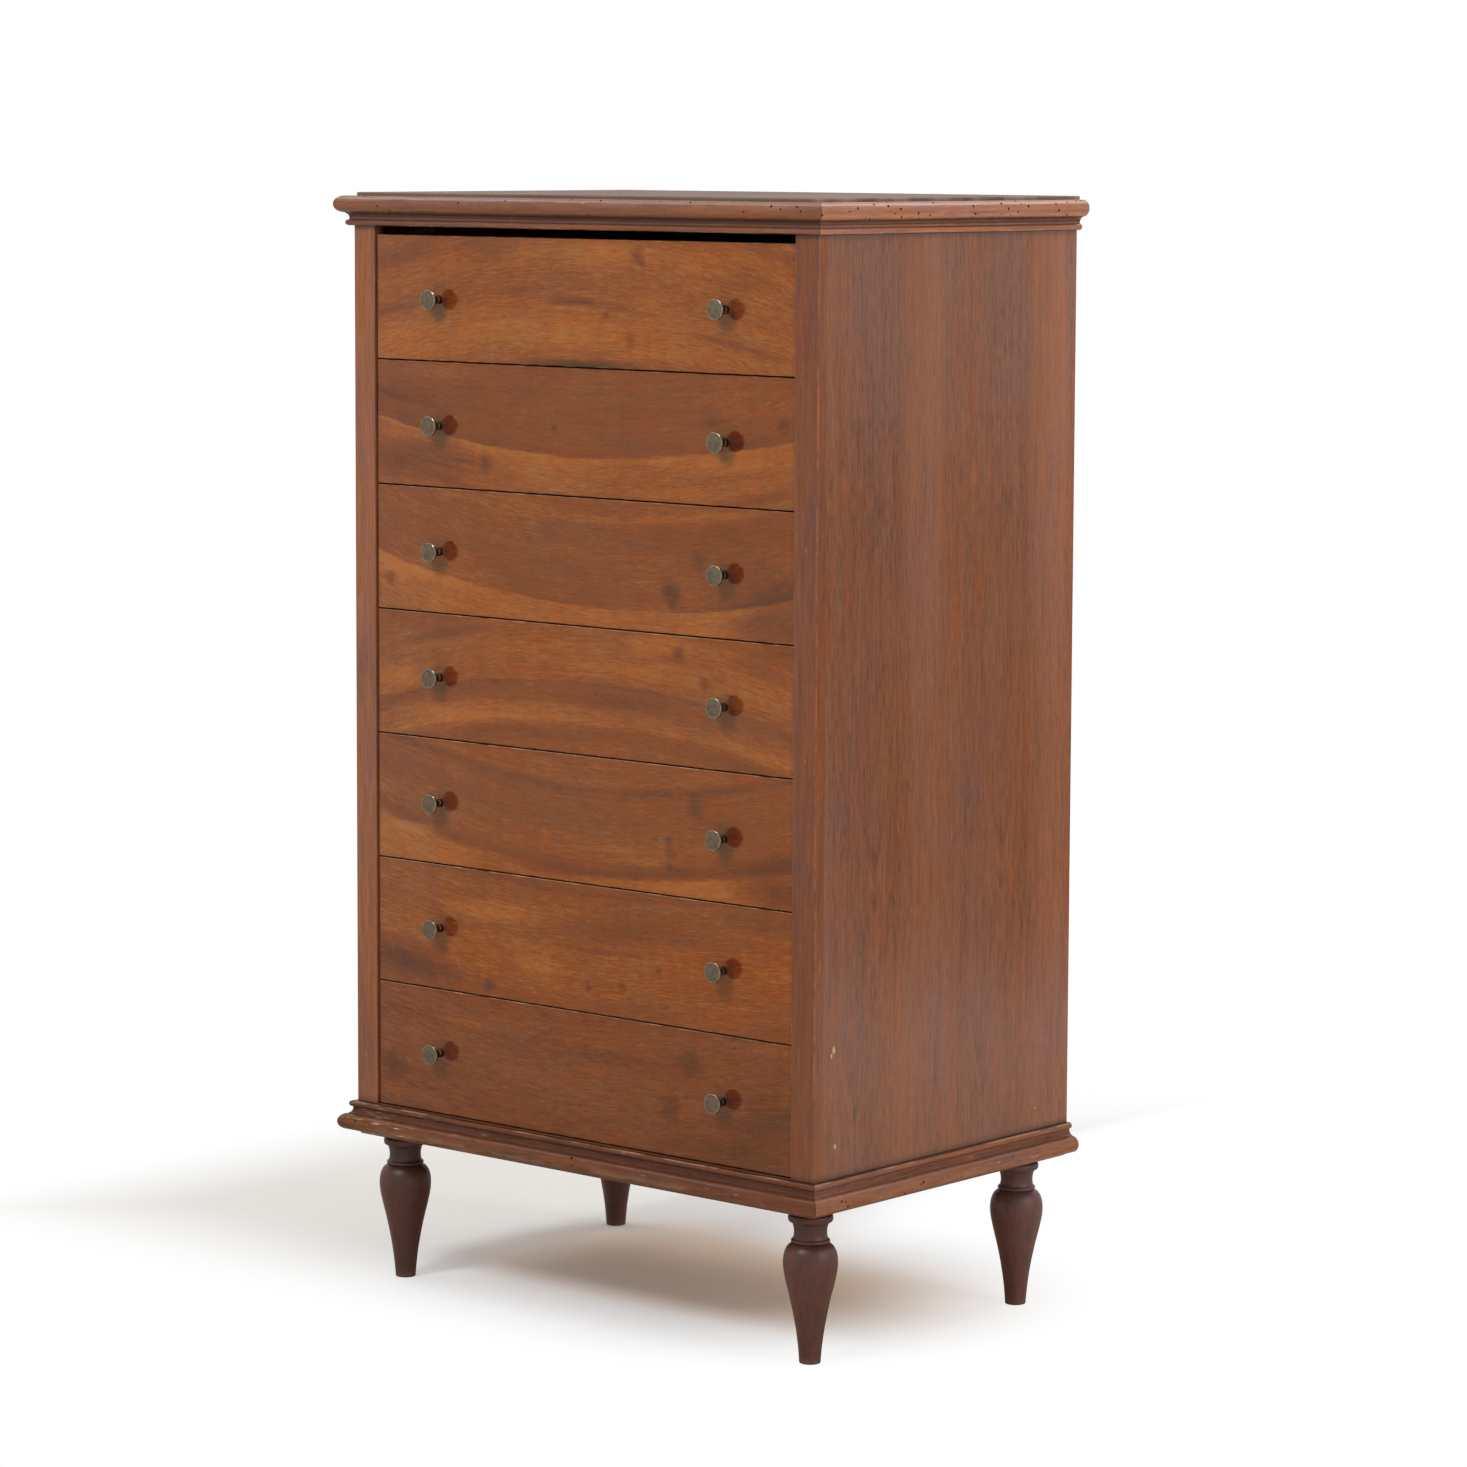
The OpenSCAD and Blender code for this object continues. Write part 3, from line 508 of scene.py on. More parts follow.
def veneer(number, colours):
    """Figured walnut veneer of one drawer front"""
    figure = FIGURES[number - 1]
    low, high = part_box(f"drawer_{number}_front")
    half_l = (high.x - low.x) / 2
    half_h = (high.z - low.z) / 2
    seed = number * 3.7
    # The polish shines partly with the wood's own colour, as the knobs' dark reflections show
    f = Finish(f"walnut_veneer_{number}", specular=0.82, metallic=0.31, tint=(1.0, 0.86, 0.43))
    local = f.vector("SUBTRACT", f.place, (0.0, low.y, (low.z + high.z) / 2))
    u, depth, v = f.split(local)
    tone, place, rough_v = front_tone(f, figure, seed, local, half_l)

    # Dirt along the edges, and painted shade from the gaps round the front
    edge = f.least(f.less(half_l, f.size(u)), f.less(half_h, f.size(v)))
    dirt = f.span(edge, 6 * MM, 1.2 * MM, 0.0, 0.16)
    tone = f.total(tone, f.times(dirt, f.noise(f.stretch(local, (25, 9, 25)), 3)))
    wood = f.ramp(f.times(tone, 0.7), [[0.0, colours.veneer_light], [0.28, colours.veneer_warm],
                                       [0.58, colours.veneer_deep], [1.0, colours.veneer_dark]])
    for size, warm, cool in (((4, 0, 13), (1.03, 0.94, 0.75), (0.94, 1.05, 1.25)),
                             ((24, 0, 70), (1.02, 0.92, 0.78), (0.98, 1.08, 1.22)),
                             ((55, 0, 320), (1.03, 0.87, 0.60), (0.96, 1.13, 1.45))):
        wood = f.hued(wood, f.stretch(place, size, (seed, 0, size[0])), warm, cool)
    # The left ends are painted greyer, a painted sheen of the polish
    wood = f.tinted(f.span(u, -150 * MM, -300 * MM), wood, (1.0, 1.12, 1.60))
    wood = f.mix(1.0, wood, figure["lift"], "MULTIPLY")

    # A dark, uneven ring round each knob, drawn down below it: partly dirt that hands and polish have left,
    # partly a painted shadow of the knob
    below = f.less(f.total(rough_v, 7 * MM), middle_z(number))
    knob = f.vector("LENGTH", f.join(f.less(f.size(u), KNOB_X), 0.0, f.times(below, 0.8)))
    uneven = f.blotches(local, (22, 0, 75), 0.35, 0.6, 0.5, 1.0, 3, 0.6, (seed, 0, 8))
    wood = f.mix(f.times(f.span(knob, 23 * MM, 5 * MM, 0.0, 0.62), uneven), wood, KNOB_GRIME_AND_SHADOW)

    # A paler arris where the polish is rubbed off, holes and chips
    rub = f.times(f.span(edge, 1.3 * MM, 0.2 * MM),
                  f.blotches(local, (40, 9, 40), 0.50, 0.62, 0.0, 0.6, 3, shift=(2, 2, 2)))
    wood = f.mix(rub, wood, RUBBED_ARRIS)
    specks = f.speckle(local, 30, 0.7 * MM, 0.10, seed)
    wood = f.mix(specks, wood, HOLE)
    wood = f.mix(f.speckle(local, 21, 0.8 * MM, 0.035, seed + 9), wood, FRONT_CHIP)

    # Behind the veneer the front is plain wood
    ground = f.calc("GREATER_THAN", depth, 1.4 * MM)
    plain = f.ramp(f.total(streaks(f, local, "X", 0.5, 0.4, 0.3), 0.5),
                   [[0.2, colours.bare_light], [0.8, colours.bare_deep]])
    colour = f.mix(ground, wood, plain)
    gloss = f.total(f.swing(local, (9, 9, 14), 0.09), 0.13, f.times(specks, 0.4))
    height = f.total(f.swing(place, (15, 15, 480), 0.5), f.swing(local, (11, 3, 16), 3.0),
                     f.times(specks, -3.0))
    return f.close(colour, f.most(gloss, f.times(ground, 0.55)), height, 0.05 * MM)


def joint_dirt(f, wood):
    """Dirt where the posts and side panels meet the mouldings"""
    z = f.split(f.place)[2]
    ends = f.least(f.less(CORNICE_Z, z), f.less(z, BASE_MOULDING_TOP))
    uneven = f.total(ends, f.swing(f.place, (30, 30, 30), 3 * MM, shift=(4, 4, 4)))
    line = f.most(f.span(ends, 1.2 * MM, 0.4 * MM, 0.0, 0.8), f.span(uneven, 9 * MM, 0.0, 0.0, 0.4))
    return f.mix(line, wood, JOINT_DIRT)


def post_walnut(name, light, deep, shift):
    """Plain walnut of a front post: painted lighter and warmer on its side face as painted light, and rubbed
    at the corner
    """
    f = Finish(name, specular=0.30)
    wave = f.swing(f.place, scales("Z", 2.5, 9), 10 * MM, shift=(shift, 0, 1))
    place = f.vector("ADD", f.place, f.join(wave, wave, wave))
    place = f.vector("ADD", place, (shift, shift * 0.7, shift * 1.3))
    tone = f.total(streaks(f, place, "Z", 0.35, 0.5, 0.9), 0.5, pores(f, place, "Z", 0.18))
    wood = f.ramp(tone, [[0.05, light], [0.55, mixed(light, deep, 0.6)], [0.95, deep]])
    patchy = f.stretch(place, scales("Z", 5, 26), (2, 1, 5))
    wood = f.hued(wood, patchy, (1.08, 0.94, 0.75), (0.84, 0.90, 1.30))
    x, y, z = f.split(f.place)
    inset = f.less(HALF_W, f.size(x))
    # Its side face is painted lighter and warmer: painted light
    side_face_lit = f.times(f.span(inset, 0.5 * MM, 0.1 * MM), f.span(y, FACE_Y + 0.6 * MM, FACE_Y + 1.4 * MM))
    wood = f.tinted(side_face_lit, wood, (1.25, 1.22, 1.08))
    corner = f.away(inset, f.less(y, FACE_Y))
    broken = f.blotches(f.place, (20, 20, 26), 0.42, 0.60, 0.05, 0.65, 4, 0.7, (2, 8, 3))
    wood = f.mix(f.times(f.span(corner, 2.0 * MM, 1.0 * MM), broken), wood, RUBBED_CORNER)
    spots = f.speckle(f.place, 34, 0.65 * MM, 0.16, shift + 1)
    spots = f.most(spots, f.times(f.span(corner, 3.0 * MM, 2.0 * MM),
                                  f.speckle(f.place, 60, 1.3 * MM, 0.30, shift + 5)))
    wood = f.mix(spots, wood, HOLE)
    scuff = f.blotches(f.place, scales("Z", 35, 160), 0.66, 0.74, 0.0, 1.0, 4, 0.65, (9, 1, 4))
    wood = f.mix(f.times(scuff, 0.35), wood, POST_SCUFF)
    gloss = f.total(f.swing(f.place, (14, 14, 14), 0.16), 0.22, f.times(spots, 0.4))
    height = f.total(f.swing(place, scales("Z", 15, 480), 0.8), f.swing(f.place, scales("Z", 6, 30), 2.0),
                     f.times(spots, -3.0))
    return f.close(joint_dirt(f, wood), gloss, height, 0.06 * MM)


# Chips in the side panels' polish: places from the front and the floor, and half sizes, in mm
CHIPS = ((33, 355, 3.0, 5.0), (29, 349, 2.0, 3.0), (36, 248, 2.6, 3.6), (11, 292, 1.4, 2.2),
         (396, 237, 1.5, 1.5))
# Darkness across one leaf of the side panels' veneer, from its front edge to its back edge
LEAF_STRIPES = ((0.0, 0.56), (0.10, 0.58), (0.20, 0.60), (0.38, 0.68), (0.50, 0.62), (0.60, 0.64),
                (0.66, 0.42), (0.80, 0.22), (0.885, 0.26), (0.90, 0.06), (0.915, 0.34), (0.96, 0.48),
                (1.0, 0.46))
# Arched grain low on each leaf: across, height of the top, half width and height, in mm
LEAF_ARCHES = ((97, 440, 42, 150), (62, 200, 34, 110))
# Rounds off the arches' tops, in square metres
APEX_ROUND = 0.00004
# Darker spots of each leaf: across, height and size in mm, and darkness
LEAF_SPOTS = ((68, 287, 13, 0.3), (104, 938, 14, 0.26), (36, 992, 10, 0.2))


def side_walnut(colours):
    """Walnut veneer of the side panels, laid in two leaves that repeat each other"""
    f = Finish("walnut_sides", specular=0.45)
    leaf = (BACK_Y - FACE_Y) / 2
    local = f.vector("SUBTRACT", f.place, (0.0, FACE_Y, 0.0))
    x, y, z = f.split(local)
    second = f.calc("GREATER_THAN", y, leaf)
    w = f.less(y, f.times(second, leaf))
    drift = f.swing(f.join(x, w, z), (0, 9, 2.2), 22 * MM)
    drift = f.total(drift, f.swing(local, (0, 5, 1.3), 12 * MM, shift=(1, 4, 8)))
    w = f.total(w, drift)
    place = f.join(x, w, z)
    middle = 0.50
    tone = f.less(f.ramp(f.span(w, 0.0, leaf, kind="LINEAR"), LEAF_STRIPES), middle)
    tone = f.total(f.times(tone, f.span(z, 0.55, 1.05, 0.40, 1.0)), middle)
    for across, apex, half, tall in LEAF_ARCHES:
        off = f.less(w, across * MM)
        bow = f.calc("SQRT", f.total(f.times(off, off), APEX_ROUND))
        rings = f.less(f.times(bow, 3.4), f.less(z, apex * MM))
        rings = f.total(rings, f.swing(place, (0, 30, 12), 20 * MM))
        arch = f.swing(f.join(rings, 0.0, 0.0), (26, 1, 1), 1.6, 1)
        tone = f.total(tone, f.times(arch, patch(f, w, z, (across, apex + tall * 0.55, half, tall, 1))))
    broad = f.swing(local, (0, 28, 2.4), 0.55, shift=(0, 1, 5))
    tone = f.total(tone, streaks(f, place, "Z", 0.30, 0.42, 1.0, 1.7),
                   f.swing(local, (0, 75, 4.5), 0.50, 3, 0.6, (0, 6, 1)),
                   f.swing(local, (0, 420, 70), 0.45, 2, 0.6, (0, 2, 8)), pores(f, place, "Z", 0.25),
                   f.swing(local, (0, 2.2, 1.6), 0.35, shift=(0, 3, 2)),
                   f.times(broad, f.span(z, 1.0, 0.35, 0.25, 1.0)))
    for across, high, size, amount in LEAF_SPOTS:
        tone = f.total(tone, patch(f, w, z, (across, high, size, size * 1.7, amount)))
    light, deep = colours.side_light, colours.side_deep
    wood = f.ramp(tone, [[0.0, light], [0.5, mixed(light, deep, 0.55)], [0.85, deep],
                         [1.0, mixed(deep, DARK_STREAK, 0.4)]])
    for size, warm, cool in (((0, 12, 3), (1.05, 0.96, 0.80), (0.94, 1.00, 1.22)),
                             ((0, 60, 4.5), (1.04, 0.94, 0.85), (0.96, 1.05, 1.14)),
                             ((0, 320, 9), (1.04, 0.93, 0.83), (0.97, 1.06, 1.18))):
        wood = f.hued(wood, f.stretch(place, size, (0, 3, size[2])), warm, cool)
    # Low on the panel the wood is painted a little darker and warmer: painted shade where the polish reflects
    # less
    wood = f.tinted(f.span(z, 0.60, 0.32), wood, (0.97, 0.93, 0.87))
    wood = f.mix(f.speckle(local, 26, 0.7 * MM, 0.035, 4), wood, SIDE_HOLE)
    wood = joint_dirt(f, wood)
    for across, high, wide, tall in CHIPS:
        chip = f.least(f.times(patch(f, y, z, (across, high, wide, tall, 1.0)), 3.0), 0.85)
        wood = f.mix(f.times(chip, f.calc("GREATER_THAN", x, 0.0)), wood, SIDE_CHIP)
    wood = f.tinted(f.span(y, 0.36, 0.45), wood, (1.16, 1.14, 1.16))
    gloss = f.total(f.swing(local, (8, 8, 5), 0.12), 0.20)
    height = f.total(f.swing(place, (15, 480, 15), 0.6), f.swing(local, (7, 10, 5), 3.0))
    return f.close(wood, gloss, height, 0.05 * MM)


def moulding_walnut(name, axis, light, deep, shift, worn, left_wear, long, mitres, specular, cove_shade):
    """Walnut of a moulding, with dirt and painted shade in its hollows, painted shade in its cove and quirk,
    and its nose and bead rubbed
    """
    f = Finish(name, specular=specular)
    out, up, along = f.split(f.attribute("section"))
    place = f.vector("ADD", f.place, (shift, shift * 0.7, shift * 1.3))
    tone = f.total(streaks(f, place, axis, 0.7, 0.8, 0.8), 0.42, pores(f, place, axis, 0.2))
    # Dirt and painted shade darken the hollow between the bead and the nose
    hollow_dirt_and_shade = f.times(f.span(up, 6.4 * MM, 7.6 * MM), f.span(up, 16.5 * MM, 14.5 * MM),
                     f.span(out, 9.5 * MM, 5.5 * MM),
                     f.blotches(f.place, (12, 12, 12), 0.25, 0.6, 0.12, 0.28, 3))
    tone = f.total(tone, hollow_dirt_and_shade, f.span(up, 1.1 * MM, 0.2 * MM, 0.0, 0.8))
    wood = f.ramp(tone, [[0.05, light], [0.55, mixed(light, deep, 0.6)], [0.95, deep],
                         [1.0, mixed(deep, DARK_HOLLOW, 0.5)]])
    patchy = f.stretch(place, scales(axis, 7, 60), (4, 4, 4))
    wood = f.hued(wood, patchy, (1.06, 0.97, 0.75), (0.86, 0.92, 1.25))
    # Painted shade: the cove under the nose and the quirk over the bead are darkened
    cove = f.times(f.span(up, 9.0 * MM, 10.6 * MM), f.span(up, 16.6 * MM, 15.2 * MM),
                   f.span(out, 12.5 * MM, 9.5 * MM))
    quirk = f.times(f.span(f.size(f.less(up, 7.2 * MM)), 1.0 * MM, 0.3 * MM), f.span(out, 6.5 * MM, 5 * MM))
    wood = f.mix(f.most(f.times(cove, cove_shade), f.times(quirk, 0.6)), wood, COVE_SHADE)
    bead = patch(f, out, up, (5.6, 0.6, 2.6, 1.6, 0.7))
    nose = patch(f, out, up, (15.8, 27.0, 3.0, 7.0, 0.35))
    broken = f.blotches(f.place, scales(axis, 14, 60), 0.46, 0.62, 0.0, 1.0, 4, 0.6, (9, 1, 4))
    wood = f.mix(f.times(f.total(bead, nose), broken, worn), wood, mixed(light, RUBBED_BEAD, 0.5))
    scuffed = f.noise(f.stretch(f.place, scales(axis, 30, 190), (1, 6, 4)), 4, 0.7)
    scuff = f.span(f.total(scuffed, f.span(along, 0.30, 0.12, 0.0, left_wear)), 0.65, 0.73)
    scuff = f.times(scuff, f.span(up, 17 * MM, 20 * MM, 0.25, 1.0), worn)
    wood = f.mix(scuff, wood, MOULDING_SCUFF)
    # Worm holes are painted dark, a painted shade inside them, wherever they go in under the nose's round
    inwards = f.away(f.less(out, 7.6 * MM), f.less(up, 24.8 * MM))
    hole = f.times(f.span(inwards, 9.45 * MM, 9.0 * MM), f.calc("GREATER_THAN", out, 8.6 * MM), 0.95)
    wood = f.mix(hole, wood, WORM_HOLE_SHADE)
    for end, mitred in zip((along, f.less(long, along)), mitres):
        if mitred:
            wood = f.mix(f.span(end, 0.8 * MM, 0.1 * MM, 0.0, 0.75), wood, MITRE_DIRT)
    gloss = f.total(f.swing(f.place, (20, 20, 20), 0.2), 0.26)
    height = f.total(f.swing(place, scales(axis, 15, 480), 0.8), f.swing(f.place, (26, 26, 26), 2.2))
    return f.close(wood, gloss, height, 0.07 * MM)


def leg_stain(colours):
    """Dark stained and polished legs, rubbed red on the swelling and the ring"""
    f = Finish("leg_stain", specular=0.35)
    local = f.attribute("turned")
    x, y, z = f.split(local)
    tone = f.total(f.swing(local, (70, 70, 22), 0.6, 3), f.swing(local, (300, 300, 60), 0.6), 0.30)
    rub = f.total(f.span(f.away(x, y), 14 * MM, 28 * MM, 0.30, 0.45),
                  f.span(z, 128 * MM, 100 * MM, -0.10, 0.08),
                  f.swing(local, (42, 42, 34), 0.9, 3, shift=(4, 4, 4)))
    wood = f.mix(f.span(f.total(tone, rub), 0.20, 1.20), colours.leg_dark, colours.leg_red)
    wood = f.mix(f.blotches(local, (130, 130, 100), 0.70, 0.76, 0.0, 0.5, 3, 0.6, (1, 2, 3)), wood, LEG_NICK)
    # Painted light: the back legs are painted paler, and the left ones darker
    across, back, up = f.split(f.place)
    wood = f.tinted(f.span(back, -0.1, 0.1), wood, (1.35, 1.6, 1.9))
    wood = f.tinted(f.span(across, 0.1, -0.1), wood, (0.85, 0.86, 0.88))
    foot = f.span(z, 9 * MM, 1 * MM, 0.0, 0.5)
    wood = f.mix(foot, wood, WORN_FOOT)
    gloss = f.total(f.swing(local, (40, 40, 40), 0.20, 3), 0.40, f.times(foot, 0.4))
    rings = f.calc("SINE", f.times(z, 2 * math.pi / (1.1 * MM)))
    height = f.total(f.times(rings, 0.25), f.swing(local, (150, 150, 60), 2.0, 3))
    return f.close(wood, gloss, height, 0.06 * MM)


def aged_brass(colours):
    """Brass that has gone dull and brown, with bright edges where hands rub it"""
    f = Finish("aged_brass", specular=0.5, metallic=1.0)
    local = f.attribute("turned")
    x, y, z = f.split(local)
    radius = f.away(x, y)
    rim_r, face = KNOB_R * MM, KNOB_REACH * MM
    spread = f.vector("ADD", f.stretch(local, (190, 190, 190)), f.stretch(f.place, (9, 9, 9)))
    blotch = f.noise(spread, 3, 0.6)
    dull = f.mix(f.span(blotch, 0.35, 0.65), mixed(colours.patina, DARK_PATINA, 0.35), colours.patina)
    bright = f.times(f.span(radius, rim_r - 2.0 * MM, rim_r - 0.6 * MM),
                     f.span(z, face - 3.5 * MM, face - 2 * MM),
                     f.blotches(local, (260, 260, 260), 0.34, 0.58, 0.15, 0.85))
    metal = f.mix(bright, dull, colours.brass)
    # Polish and dirt have gathered behind the disc, round the stem and its collar
    behind = f.times(f.span(z, face - 3.4 * MM, face - 4.4 * MM), f.span(radius, rim_r, rim_r - 1.5 * MM))
    dirt = f.blotches(local, (420, 420, 420), 0.62, 0.45, 0.35, 0.92, shift=(3, 1, 2))
    metal = f.mix(f.times(behind, dirt), metal, KNOB_DIRT)
    gloss = f.total(f.span(blotch, 0.3, 0.7, 0.50, 0.36), f.times(bright, -0.18), f.times(behind, -0.15))
    return f.close(metal, gloss, f.times(blotch, 1.5), 0.03 * MM)


# Rings that pots left on the top: across and back in metres, radius in mm, and strength
TOP_RINGS = ((0.19, -0.06, 46, 0.30), (0.228, -0.012, 46, 0.16), (-0.21, 0.10, 38, 0.22))


def top_walnut(colours):
    """Top board: the polish is faded and scratched, with rings left by pots and glasses"""
    f = Finish("walnut_top", specular=0.25)
    x, y, z = f.split(f.place)
    place = f.vector("ADD", f.place, f.join(0.0, f.swing(f.place, (2.5, 8, 9), 14 * MM), 0.0))
    tone = f.total(streaks(f, place, "X", 0.6, 0.45, 0.3), 0.5, pores(f, place, "X", 0.2))
    fade = f.blotches(f.place, (3.5, 4.5, 1), 0.38, 0.66, detail=3, shift=(2, 5, 0))
    wood = f.ramp(f.total(tone, f.times(fade, -0.28)), [[0.0, colours.top_light], [0.9, colours.top_deep]])
    for across, back, radius, amount in TOP_RINGS:
        off = f.less(f.away(f.less(x, across), f.less(y, back)), radius * MM)
        line = f.times(f.span(f.size(off), 2.4 * MM, 0.6 * MM),
                       f.blotches(f.place, (22, 22, 1), 0.42, 0.60, 0.0, amount, 3, shift=(across * 9, 0, 0)))
        wood = f.mix(line, wood, TOP_RING)
    wood = f.mix(f.blotches(f.place, (9, 420, 1), 0.70, 0.75, 0.0, 0.30, shift=(3, 3, 3)), wood, TOP_SCRATCH)
    edge = f.least(f.less(HALF_W - 2 * MM, f.size(x)), f.less(BACK_Y + 8 * MM, y))
    worn = f.times(f.span(edge, 14 * MM, 0.5 * MM),
                   f.blotches(f.place, (18, 18, 18), 0.44, 0.62, 0.0, 0.50, 4, 0.6))
    wood = f.mix(worn, wood, TOP_EDGE)
    gloss = f.total(f.swing(f.place, (7, 7, 7), 0.2), 0.55)
    height = f.total(f.swing(place, (15, 480, 15), 0.8), f.swing(f.place, (12, 12, 12), 2.0))
    return f.close(wood, gloss, height, 0.06 * MM)


def bare_wood(name, axis, light, deep, shift=0.0, grime=0.3):
    """Unpolished wood with streaks and clouds of dirt"""
    f = Finish(name, specular=0.25)
    place = f.vector("ADD", f.place, (shift, shift * 1.7, shift * 0.4))
    wave = f.swing(place, scales(axis, 2.0, 10), 14 * MM)
    bent = f.vector("ADD", place, f.join(wave, wave, wave))
    tone = f.total(streaks(f, bent, axis, 0.7, 0.6, 0.4), 0.42)
    wood = f.ramp(tone, [[0.1, light], [0.5, mixed(light, deep, 0.35)], [0.9, deep]])
    dirt = f.blotches(f.place, (6, 6, 6), 0.45, 0.75, 0.0, grime, 4, 0.6, (shift, 1, 2))
    wood = f.mix(dirt, wood, mixed(deep, GREY_GRIME, 0.6))
    gloss = f.total(f.swing(place, (30, 30, 30), 0.1), 0.68)
    return f.close(wood, gloss, f.swing(bent, scales(axis, 18, 520), 2.0), 0.08 * MM)


def dull_steel(colours):
    """Old screws with a little rust in the slots"""
    f = Finish("dull_steel", metallic=1.0)
    spot = f.noise(f.stretch(f.place, (240, 240, 240)), 3, 0.6)
    metal = f.mix(f.span(spot, 0.46, 0.64), colours.steel, RUST)
    return f.close(metal, f.span(spot, 0.3, 0.7, 0.38, 0.62), spot, 0.05 * MM)


# Making pieces

class Maker(Nodes):
    """A geometry tree with named inputs that makes pieces from a drawn outline or from places"""

    def __init__(self, name, **inputs):
        super().__init__(bpy.data.node_groups.new(name, "GeometryNodeTree"))
        kinds = {float: "NodeSocketFloat", int: "NodeSocketInt", tuple: "NodeSocketVector"}
        face = self.tree.interface
        face.new_socket(name="Geometry", in_out="INPUT", socket_type="NodeSocketGeometry")
        face.new_socket(name="Geometry", in_out="OUTPUT", socket_type="NodeSocketGeometry")
        self.keys = {}
        for label, default in inputs.items():
            kind = default if isinstance(default, str) else kinds[type(default)]
            socket = face.new_socket(name=label.replace("_", " "), in_out="INPUT", socket_type=kind)
            if not isinstance(default, str):
                socket.default_value = default
            self.keys[label] = socket.identifier
        socket = face.new_socket(name="Finish", in_out="INPUT", socket_type="NodeSocketMaterial")
        self.keys["Finish"] = socket.identifier
        outputs = self.add("NodeGroupInput").outputs
        self.given = {label: outputs[label.replace("_", " ")] for label in [*inputs, "Finish"]}
        self.drawing = outputs[0]

    def first(self, kind, values=None, **settings):
        """Adds a node and gives its first output"""
        return self.add(kind, values, **settings).outputs[0]

    def position(self):
        return self.first("GeometryNodeInputPosition")

    def chance(self, low, high, seed):
        """A random number for each point"""
        node = self.add("FunctionNodeRandomValue", {"Min": low, "Max": high, "Seed": seed}, data_type="FLOAT")
        return next(socket for socket in node.outputs if socket.enabled)

    def moved(self, geometry, offset):
        return self.first("GeometryNodeSetPosition", {"Geometry": geometry, "Offset": offset})

    def pushed(self, geometry, depth):
        """Moves each point along its normal"""
        normal = self.first("GeometryNodeInputNormal")
        return self.moved(geometry, self.vector("MULTIPLY", normal, self.join(depth, depth, depth)))

    def carved(self, mesh, tool):
        cut = self.add("GeometryNodeMeshBoolean", operation="DIFFERENCE", solver="EXACT")
        self.feed(cut.inputs[0], mesh)
        self.feed(cut.inputs[1], tool)
        return cut.outputs[0]

    def kept(self, geometry, name):
        """Stores each point's place, before the piece is moved, for its finish to read"""
        return self.first("GeometryNodeStoreNamedAttribute", {
            "Geometry": geometry, "Name": name, "Value": self.position(),
        }, data_type="FLOAT_VECTOR", domain="POINT")

    def turned(self):
        """Turns the outline object, whose x is the radius and y the height, round the z axis"""
        info = self.add("GeometryNodeObjectInfo", {"Object": self.given["Outline"]})
        hub = 10 * MM
        x, y, z = self.split(self.position())
        curve = self.first("GeometryNodeMeshToCurve", {"Mesh": info.outputs["Geometry"]})
        held = self.first("GeometryNodeSetPosition", {
            "Geometry": curve, "Position": self.join(self.less(x, hub), self.times(y, -1.0), 0.0)})
        circle = self.first("GeometryNodeCurvePrimitiveCircle", {
            "Resolution": self.given["Facets"], "Radius": hub})
        piece = self.first("GeometryNodeCurveToMesh", {"Curve": circle, "Profile Curve": held})
        closed = self.first("GeometryNodeMergeByDistance", {"Geometry": piece, "Distance": WELD})
        return self.kept(self.first("GeometryNodeFlipFaces", {"Mesh": closed}), "turned")

    def close(self, geometry):
        real = self.first("GeometryNodeRealizeInstances", {"Geometry": geometry})
        done = self.first("GeometryNodeSetMaterial", {"Geometry": real, "Material": self.given["Finish"]})
        self.add("NodeGroupOutput", {0: done})

    def make(self, name, mesh, **values):
        """Runs the tree on a mesh and returns an object that holds the plain result"""
        piece = linked(name, mesh)
        modifier = piece.modifiers.new(self.tree.name, "NODES")
        modifier.node_group = self.tree
        for label, value in values.items():
            modifier[self.keys[label]] = value
        graph = bpy.context.evaluated_depsgraph_get()
        graph.update()
        made = bpy.data.meshes.new_from_object(piece.evaluated_get(graph), depsgraph=graph)
        made.name = name
        piece.modifiers.clear()
        piece.data = made
        return piece


def bored(t, sweep):
    """Bores worm holes into the nose of a swept moulding, before its ends are mitred"""
    out = t.split(t.position())[0]
    facing = t.split(t.first("GeometryNodeInputNormal"))
    level = t.calc("LESS_THAN", t.size(facing[2]), 0.5)
    here = t.times(t.calc("GREATER_THAN", out, t.given["Reach"]), level)
    spots = t.add("GeometryNodeDistributePointsOnFaces", {
        "Mesh": sweep, "Selection": here, "Density": t.given["Holes"], "Seed": t.given["Hole_Seed"]})
    pin = t.first("GeometryNodeMeshCylinder", {
        "Vertices": 10, "Radius": t.given["Hole_Radius"], "Depth": 6 * MM})
    wide = t.chance(0.6, 1.15, t.given["Hole_Seed"])
    pins = t.first("GeometryNodeInstanceOnPoints", {
        "Points": spots.outputs["Points"], "Instance": pin, "Rotation": spots.outputs["Rotation"],
        "Scale": t.join(wide, wide, 1.0)})
    return t.carved(sweep, t.first("GeometryNodeRealizeInstances", {"Geometry": pins}))


